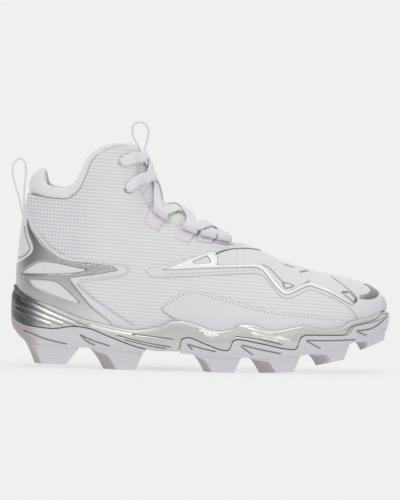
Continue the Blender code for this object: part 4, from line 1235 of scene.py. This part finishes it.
def makeRubberUnit(form, unit, word, start, stop):
    q = soleColumns(start, stop)
    st = stations(q)
    lines = [smoothLine(line, perSpan=4) for line in form["grooves"]]
    split = read(soleForm["split"], "z", st["surfaceX"]) - lastForm["gap"] / 2
    under, top = plateUnder(st), plateTop(st)
    lower, upper = st["sole"] - soleForm["draft"], st["sole"] - form["bendDraft"] * soleForm["draft"]
    bend = form["bend"]
    column = [atStation(st, 0 * q, under)]
    for share in np.linspace(0, 1, form["sideRows"]):
        z = mix(under, split, share)
        if share < bend:
            radius = mix(lower, upper, share / bend)
        else:
            radius = mix(upper, st["sole"], (share - bend) / (1 - bend))
        x = st["x"] + st["ux"] * radius
        sunk = form["grooveDeep"] * grooveShare(lines, form["grooveWide"], x, z)
        column.append(atStation(st, radius - sunk - edgeRound(split - z, form["edgeDeep"]), z))
    column.append(atStation(st, st["sole"] - soleForm["wrap"], split))
    column.append(atStation(st, st["sole"] - soleForm["wrap"], top))
    column.append(atStation(st, 0 * q, top))
    bm = gridMesh(np.stack(column, axis=1))
    bmesh.ops.remove_doubles(bm, verts=bm.verts, dist=0.02 * mm)
    bmesh.ops.holes_fill(bm, edges=[edge for edge in bm.edges if edge.is_boundary])
    studs = form["studs"]
    for k in np.flatnonzero(studs["unit"] == unit):
        for side in (lateral, medial):
            addStud(bm, form, {name: studs[name][k] for name in studs if name != "unit"}, side, lines)
    nodes = [f"outsole_{word}"]
    piece = finishPiece(f"rubber_{word}", bm, [rubber], nodes, weld=0.001, sharp=30)
    # painted shade in the grooves and along the split
    markGrooves(piece, lines, form["grooveWide"] * form["grooveDark"])
    markGrooves(piece, [splitLine(-lastForm["gap"] / 2)], soleForm["lineWide"])
    rear = piece.data.attributes.new("rear", "FLOAT", "POINT")  # painted shade on the rear faces, which look away from the light
    facing = np.array([-vert.normal.x for vert in piece.data.vertices])
    rear.data.foreach_set("value", smoothStep((facing - form["rearShadeFrom"]) / form["rearShadeOver"]))


heelQ, forefootQ = soleForm["archRear"] - heelStart, soleForm["archFront"] - heelStart
makeRubberUnit(rubberForm, 0, "heel", -heelQ, heelQ)
makeRubberUnit(rubberForm, 1, "forefoot", forefootQ, 2 * halfRound - forefootQ)
print("rubber made")


# insole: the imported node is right, and takes the lining's knit

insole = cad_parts["insole"]
insole.data.materials.clear()
insole.data.materials.append(knit)
print("insole dressed")


# tongue: a padded tongue, sewn in channels across and rounded off at its top

tongueLook = {
    "rows": (  # x, z, half-width and how sharply it bows across
        (37, 96.0, 12, 0.05), (25, 103.4, 13, 0.1), (10, 111.0, 18, 0.05), (-13, 125.0, 22, 0.047),
        (-27, 132.4, 22.5, 0.044), (-34.5, 141.0, 22, 0.036), (-40, 153.0, 21, 0.031),
        (-44.5, 164.5, 20.5, 0.03), (-50.5, 174.5, 20.5, 0.029), (-57, 182.0, 20, 0.029),
    ),
    "thick": 5.0,
    "puff": 0.5,
    "channel": 11.0,
    "perSpan": 10,
    "across": 24,
    "topRound": 4.0,  # length over which its top is rounded off
    "topLeast": 0.25,
    "innerWide": 0.97,
}


def tongueFrames(perSpan):  # x, z, half-width, bow and the outward direction up the tongue
    line = smoothLine(tongueLook["rows"], perSpan=perSpan)
    along = toUnit(np.gradient(line[:, :2], axis=0))
    return np.column_stack([line, along[:, 1], -along[:, 0]])


def onTongue(place, y, lift):  # a point on the tongue's outer face, lifted off it
    x, z, _, bow, nx, nz = place
    slope = np.arctan(2 * bow * y)
    out = lift * np.cos(slope) - bow * y * y
    return np.array((x + nx * out, footLine(x) + y + lift * np.sin(slope), z + nz * out))


def makeTongue(look):
    frames = tongueFrames(look["perSpan"])
    lengths = lengthsAlong(frames[:, :2])
    across = np.linspace(-1, 1, look["across"] + 1)
    sections = []
    for place, length in zip(frames, lengths):
        top = min((lengths[-1] - length) / look["topRound"], 1)
        end = max(math.sqrt(1 - (1 - top) ** 2), look["topLeast"])
        puff = look["puff"] * abs(math.sin(math.pi * length / look["channel"]))
        out = -look["thick"] / 2 * (1 - end) + (puff - look["puff"]) * (1 - across**4)
        under = -look["thick"] * (1 - across**2 / 2) * mix(0.5, 1, end)
        outer = [onTongue(place, y, lift) for y, lift in zip(place[2] * across, out)]
        inner = [onTongue(place, y, lift) for y, lift in zip(place[2] * across * look["innerWide"], under)]
        section = outer + inner[::-1]
        sections.append(section + section[:1])
    bm = gridMesh(np.array(sections))
    piece = finishPiece("tongue_pad", bm, [knit], ["tongue"], sharp=60, closeEnds=True)


makeTongue(tongueLook)
print("tongue made")


# cuff: a padded roll on the collar, sewn down along its lower edge

cuffLook = {
    "rows": table(
        "x lateral medial thick",
        (-139, 16, 16, 8.5), (-136.5, 19.5, 19.5, 8.5), (-133.8, 22, 22, 8.2), (-131.8, 20, 21, 8),
        (-128.6, 12, 15, 7.8), (-126, 10.2, 11.5, 7.8), (-121, 9.3, 10, 7.8), (-118.4, 9.2, 9.6, 7.8),
        (-114, 9.2, 9.3, 7.5), (-103, 8.4, 8.4, 7), (-96, 7, 7, 6), (-90, 5, 5, 5), (-84, 4, 4, 4.4),
        (-74, 3, 3, 3.6), (-60, 0.8, 0.8, 1.6),
    ),
    "endX": -60.5,
    "square": 0.75,
    "heelSquare": 1.0,  # rounder at the heel's peak
    "sides": 28,
    "step": 1.6,
    "pucker": 0.12,  # share of its thickness that the stitches draw in
    "puckerLength": 7.0,
    "below": 0.96,  # share of the wall from which the cuff's upward direction is taken
    "overlap": 0.4,
    "heelFrom": -120,  # where the peak's roundness comes in, and over what length
    "heelOver": 8,
}


def makeCuff(look):
    end = look["endX"] - heelStart
    q = np.linspace(-end, end, round(2 * end / look["step"]) + 1)
    st = stations(q)
    edge, below = (upperPoint(q, np.full(len(q), share)) for share in (1.0, look["below"]))
    along = toUnit(np.gradient(edge, axis=0))
    up = edge - below
    up = toUnit(up - along * np.sum(up * along, axis=1, keepdims=True))
    inwards = np.cross(along, up)
    facing = inwards[:, 0] * st["ux"] + inwards[:, 1] * st["uy"]
    inwards *= np.where(facing < 0, 1, -1)[:, None]
    outer, inner, thick = (read(look["rows"], name, edge[:, 0]) for name in ("lateral", "medial", "thick"))
    high = np.where(q < 0, outer, inner)
    rise, shift = lastForm["gap"] + high / 2, thick / 2 - look["overlap"]
    centre = edge + up * rise[:, None] + inwards * shift[:, None]
    peak = smoothStep((look["heelFrom"] - edge[:, 0]) / look["heelOver"])
    square = mix(look["square"], look["heelSquare"], peak)
    drawn = 1 - look["pucker"] * np.abs(np.sin(math.pi * q / look["puckerLength"])) ** 6
    sections = []
    for angle in np.linspace(0, 2 * math.pi, look["sides"] + 1):
        outward, upward = bulge(math.cos(angle), square), bulge(math.sin(angle), square)
        squeeze = np.where(upward < -0.4, drawn, 1)  # the stitches hold its lower part
        across, over = thick / 2 * outward * squeeze, high / 2 * upward
        sections.append(centre + inwards * across[:, None] + up * over[:, None])
    bm = gridMesh(np.stack(sections, axis=1))
    piece = finishPiece("cuff_pad", bm, [knit], ["collar_cuff"], sharp=70, closeEnds=True)


makeCuff(cuffLook)
print("cuff made")


# lace and the webbing loops that hold it

laceForm = {
    "rows": (  # where the lace turns, what holds it there, and the lace's climb or the loop's tail
        (-64.0, 165.2, "eyelet", 2.5),
        (-58.4, 143.3, "eyelet", 9),
        (-34.4, 124.4, "loop", 12),
        (-10.4, 112.0, "loop", 11),
        (5.0, 107.6, "loop", 6),
        (18.0, 103.8, "loop", 3.5),
    ),
    "width": 8.6,
    "thick": 1.5,
    "narrow": 0.4,  # of its width, where it goes into an eyelet
    "crossings": (167.0, 152.0),  # heights where the two highest pairs of strands cross
    "tuck": 5.0,  # how far a strand runs on under the throat's edge
    "lift": 1.6,
    "over": 1.5,
    "inset": 6.5,
    "perSpan": 8,
    "around": 12,
    "loopWidth": 12.0,
    "loopThick": 1.1,
    "loopRadius": 2.4,
    "loopLie": 0.8,
    "loopLean": 0.45,
    "loopCells": 9,  # across a loop, and along its tail
    "loopTurn": (20, 285, 16),  # degrees of the curl, and its steps
    "tonguePerSpan": 6,  # places between two rows of the tongue
    "strandEnds": (0.15, 0.85),  # shares at which a strand leaves the tongue for what holds it
    "tuckLift": 0.6,
    "hump": 0.8,
    "narrowOver": 2.2,
    "eyeletLifts": (2.4, 1.5, 0.9, -2.6),  # off the upper, from the throat's edge into the eyelet
    "throatTop": -52,
}
tapeSquare = (0.6, 0.8)  # powers that square a tape's section, across and through
steepThroat = slice(11, 8, -1)  # rows of the sections at the throat's steep edge, upwards


def ribbon(bm, points, normals, width, thick, around):  # a flat tape with rounded edges along a line
    along = toUnit(np.gradient(points, axis=0))
    across = toUnit(np.cross(along, normals))
    out = np.cross(across, along)
    sections = []
    for angle in np.linspace(0, 2 * math.pi, around + 1):
        wide = np.broadcast_to(width / 2 * bulge(math.cos(angle), tapeSquare[0]), len(points))
        high = thick / 2 * bulge(math.sin(angle), tapeSquare[1])
        sections.append(points + across * wide[:, None] + out * high)
    gridThrough(bm, np.stack(sections, axis=1))


def holdPoints(form, row, side):  # from the throat's edge to where the lace is held, with normals
    x, z, heldBy, climb = row
    if heldBy == "loop":
        q = np.array([side * (x - heelStart)])
        t = np.ones(1)
        lift = np.array([form["loopLie"] + form["loopThick"] / 2 + form["loopRadius"]])
    else:
        heights, places = (lastForm["sections"][name][steepThroat] for name in ("z", "x"))
        edgeX = np.interp(z + climb, heights, places)
        eyeletQ, eyeletT = onUpper(side, x, z)
        nearQ, nearT = onUpper(side, mix(x, edgeX, 0.5), z + 0.5 * climb)
        q = np.array([side * (edgeX - heelStart), nearQ, eyeletQ, eyeletQ])
        t = np.array([0.995, nearT, eyeletT, eyeletT])
        lift = np.array(form["eyeletLifts"])
    normals = upperNormal(q, t)
    return list(upperPoint(q, t) + normals * lift[:, None]), list(normals)


def laceStrand(form, frames, start, stop, cross, lift, heldAtStart):  # it is always held where it stops
    (a, yA, rowA, sideA), (b, yB, rowB, sideB) = start, stop
    first, last = form["strandEnds"]
    points, normals = [], []
    for share in np.linspace(first if heldAtStart else 0, last, 5):
        rest = 1 - share
        at = a * rest * (rest - share) + 4 * cross * share * rest + b * share * (share - rest)
        low = int(np.clip(at, 0, len(frames) - 2))
        place = mix(frames[low], frames[low + 1], at - low)
        y = mix(yA, yB, share)
        lying = lift if heldAtStart else mix(form["tuckLift"], lift, smoothStep(share / 0.4))
        hump = lying + form["hump"] * math.sin(math.pi * share)
        points.append(onTongue(place, y, hump))
        normals.append(onTongue(place, y, hump + 1) - points[-1])
    if heldAtStart:
        more, moreNormals = holdPoints(form, rowA, sideA)
        points, normals = more[::-1] + points, moreNormals[::-1] + normals
    more, moreNormals = holdPoints(form, rowB, sideB)
    runs = points + more, normals + moreNormals
    line, normals = (smoothLine(run, perSpan=form["perSpan"]) for run in runs)
    near = np.arange(len(line)) / form["perSpan"]
    width = np.full(len(line), form["width"])
    for held, row, away in ((heldAtStart, rowA, near), (True, rowB, near[-1] - near)):
        if held and row[2] == "eyelet":
            width *= mix(form["narrow"], 1, smoothStep(away / form["narrowOver"]))
    return line, normals, width


def makeLace(form):
    frames = tongueFrames(form["tonguePerSpan"])
    turnsAt = []
    for row in form["rows"]:
        half = float(read(lastForm["sections"], "half", max(row[0], form["throatTop"]))) - form["inset"]
        heights = [abs(onTongue(place, half, 0)[2] - row[1]) for place in frames]
        turnsAt.append((int(np.argmin(heights)), half, row))
    bm = newMesh()
    for k, ((a, halfA, rowA), (b, halfB, rowB)) in enumerate(zip(turnsAt, turnsAt[1:])):
        for side in (lateral, medial):
            over = (k + (side == medial)) % 2
            lift = form["lift"] + form["over"] * over
            heldAbove = rowA[2] == "loop"
            cross = (a + b) / 2
            if k < len(form["crossings"]):
                cross = int(np.argmin(np.abs(frames[:, 1] - form["crossings"][k])))
            start = (a, side * (halfA + (0 if heldAbove else form["tuck"])), rowA, side)
            stop = (b, -side * halfB, rowB, -side)
            strand = laceStrand(form, frames, start, stop, cross, lift, heldAbove)
            ribbon(bm, *strand, form["thick"], form["around"])
    for k in (0, len(turnsAt) - 1):
        at, half, row = turnsAt[k]
        lift = form["lift"] + form["over"]
        start, stop = ((at, side * half, row, side) for side in (lateral, medial))
        strand = laceStrand(form, frames, start, stop, at, lift, True)
        ribbon(bm, *strand, form["thick"], form["around"])
    finishPiece("lace_strands", bm, [lace], ["laces"], weld=0.002, sharp=60, closeEnds=True)


def loopSheet(form, x, tail, side):  # rows of points along a loop: its tail, then its curl over the lace
    columns = []
    lie = form["loopLie"] + form["loopThick"] / 2
    cells = form["loopCells"]
    shares = np.linspace(1, 0.4, 120)  # down the wall from the throat's edge
    marksDown = np.linspace(tail, 0, cells)
    for shift in np.linspace(-0.5, 0.5, cells) * form["loopWidth"]:
        q = side * (x + shift - heelStart)
        t = np.interp(marksDown, lengthsAlong(upperPoint(np.full(len(shares), q), shares)), shares)
        normals = upperNormal(np.full(cells, q), t)
        points = upperPoint(np.full(cells, q), t) + normals * lie
        points[:, 0] -= form["loopLean"] * marksDown
        edge, out = points[-1], normals[-1]
        along = np.cross(out, (1, 0, 0)) * side
        along *= -1 if along[1] * side > 0 else 1
        centre = edge + out * form["loopRadius"]
        curl = [centre + form["loopRadius"] * (along * math.sin(a) - out * math.cos(a))
                for a in np.radians(np.linspace(*form["loopTurn"]))]
        columns.append(np.vstack([points, curl]))
    return np.stack(columns, axis=1)


def makeLoops(form):
    for k, (x, _, heldBy, tail) in enumerate(form["rows"]):
        if heldBy != "loop":
            continue
        for side, word in ((lateral, "lateral"), (medial, "medial")):
            bm = gridMesh(loopSheet(form, x, tail, side))
            place = f"{word}_{k - 1}"
            piece = finishPiece(f"webbing_{place}", bm, [webbing], [f"lace_loop_{place}"])
            thicken(piece, form["loopThick"], offset=0)


makeLoops(laceForm)
makeLace(laceForm)
print("lace made")


# pull loops at the heel and on the tongue

pullForm = {
    "heel": (
        (-143.8, 125.5), (-145.4, 134), (-149, 145), (-151.4, 155), (-150, 162.5), (-145.4, 165.6),
        (-141.4, 162), (-140.6, 154.5), (-141.4, 144), (-141.7, 134), (-141.7, 127.5),
    ),
    "tongue": (
        (-48.6, 172), (-51.4, 178), (-54.6, 183.6), (-56, 189), (-55.6, 194.2), (-50.4, 197),
        (-44.9, 194.4), (-43.2, 189), (-44, 182.4), (-46, 175.6), (-47.4, 171),
    ),
    "thick": 1.6,
    "perSpan": 8,
    "around": 10,
    "sewnAt": (119.0, 122.0),  # heights where the heel's loop goes into the film
}


def heelFace(z):  # x of the heel's back at a height
    st = stations(np.zeros(1))
    return float(st["x"][0] + st["ux"][0] * upperRadius(st, np.array([z]))[0])


def makePull(form, word):
    ends = [[(heelFace(z), z)] if word == "heel" else [] for z in form["sewnAt"]]
    line = smoothLine([*ends[0], *form[word], *ends[1]], perSpan=form["perSpan"])
    points = np.stack([line[:, 0], footLine(line[:, 0]), line[:, 1]], axis=1)
    normals = np.tile((0.0, 1.0, 0.0), (len(points), 1))
    bm = newMesh()
    ribbon(bm, points, normals, form["thick"], form["thick"], form["around"])
    nodes = [f"{word}_pull_loop"]
    finishPiece(f"pull_{word}", bm, [cord], nodes, weld=0.002, sharp=70, closeEnds=True)


for word in ("heel", "tongue"):
    makePull(pullForm, word)
print("pull loops made")


# stitches: short rounded stitches along the sewn edges

stitchForm = {
    "long": 1.5,
    "thick": 0.3,
    "pitch": 2.6,
    "rows": (  # lines drawn from the side, and how far off the upper the film under them lies
        (((-126, 105.6), (-118, 96.6), (-108, 91)), 0.5),
        (((-92, 85.2), (-74, 83.9), (-61, 82.6), (-57, 79.4), (-60, 76), (-74, 73.2), (-94, 70.8)), 0.55),
        (((-95, 66.2), (-84, 57.2), (-68, 46.4), (-52, 36.8)), 0.5),
        (((-26, 77), (0, 78), (24, 79.6), (44, 80.6)), 1.0),
    ),
}


def makeStitches(form):
    bm = newMesh()
    size = Matrix.Diagonal((form["long"] / 2 * mm, form["thick"] * mm, form["thick"] * mm, 1))
    for points, lift in form["rows"]:
        line = evenLine(smoothLine(points), form["pitch"])
        for side in (lateral, medial):
            for point, along, normal in zip(*placeOnUpper(side, line, lift)):
                bmesh.ops.create_uvsphere(bm, u_segments=6, v_segments=4, radius=1,
                                          matrix=standAt(point, along, normal) @ size)
    finishPiece("stitches", bm, [thread], weld=0.0005)


makeStitches(stitchForm)
print("stitches made")


# stage: pale floor, soft light from above and in front, darker to the sides as in a narrow studio

stageLook = {
    "floor": "#8f8f8f",
    "fibre": "#919191",
    "fibreSize": 6,
    "glow": 0.625,  # the floor is paper lit from below, which keeps the shadows light
    "floorSize": 40.0,
    "sky": (  # from the heel's side to the toe's
        (0.0, "#505050"), (0.24, "#f0f0f0"), (0.78, "#f0f0f0"), (1.0, "#a0a0a0"),
    ),
    "front": 0.75,  # the room behind the camera is a little darker
}
keyLight = {"towards": (0.15, 0.5, -1), "power": 0.6, "spread": 40}


def addSun(name, form):
    data = bpy.data.lights.new(name, "SUN")
    data.energy = form["power"]
    data.angle = math.radians(form["spread"])
    light = addObject(name, data)
    light.rotation_euler = Vector(form["towards"]).to_track_quat("-Z", "Y").to_euler()


def makeStage(look):
    bm = newMesh()
    bmesh.ops.create_grid(bm, x_segments=8, y_segments=8, size=look["floorSize"] / 2, calc_uvs=True)
    mesh = toMesh("floor", bm)
    floor = addObject("floor", mesh)
    finish = {"Roughness": 0.95, "Specular IOR Level": 0.0}
    finish.update({"Emission Color": (1, 1, 1, 1), "Emission Strength": look["glow"]})
    material, tree, shader, coords = startMaterial("lit_paper", finish)  # paper: matt, almost even
    fibre = addNode(tree, "TexNoise", {"Scale": grainScale(look["fibreSize"])}, {"Vector": coords["Object"]})
    colour = addNode(tree, "ValToRGB", None, {"Fac": fibre.outputs["Fac"]})
    setRamp(colour, (0.0, look["floor"]), (1.0, look["fibre"]))
    joinShader(tree, shader, colour.outputs["Color"])
    mesh.materials.append(material)
    world = bpy.data.worlds.new("studio")
    bpy.context.scene.world = world
    world.use_nodes = True
    tree = world.node_tree
    coords = addNode(tree, "TexCoord")
    parts = addNode(tree, "SeparateXYZ", None, {"Vector": coords.outputs["Generated"]})
    across = addNode(tree, "MapRange", {"From Min": -1.0, "From Max": 1.0}, {"Value": parts.outputs["X"]})
    colour = addNode(tree, "ValToRGB", None, {"Fac": across.outputs["Result"]})
    setRamp(colour, *look["sky"])
    strength = addNode(tree, "MapRange", {"From Min": -1.0, "From Max": 0.3, "To Min": look["front"]},
                       {"Value": parts.outputs["Y"]})
    background = tree.nodes["Background"].inputs
    tree.links.new(colour.outputs["Color"], background["Color"])
    tree.links.new(strength.outputs["Result"], background["Strength"])
    bpy.context.scene.view_settings.view_transform = "Standard"


makeStage(stageLook)
addSun("key", keyLight)
print("stage made")
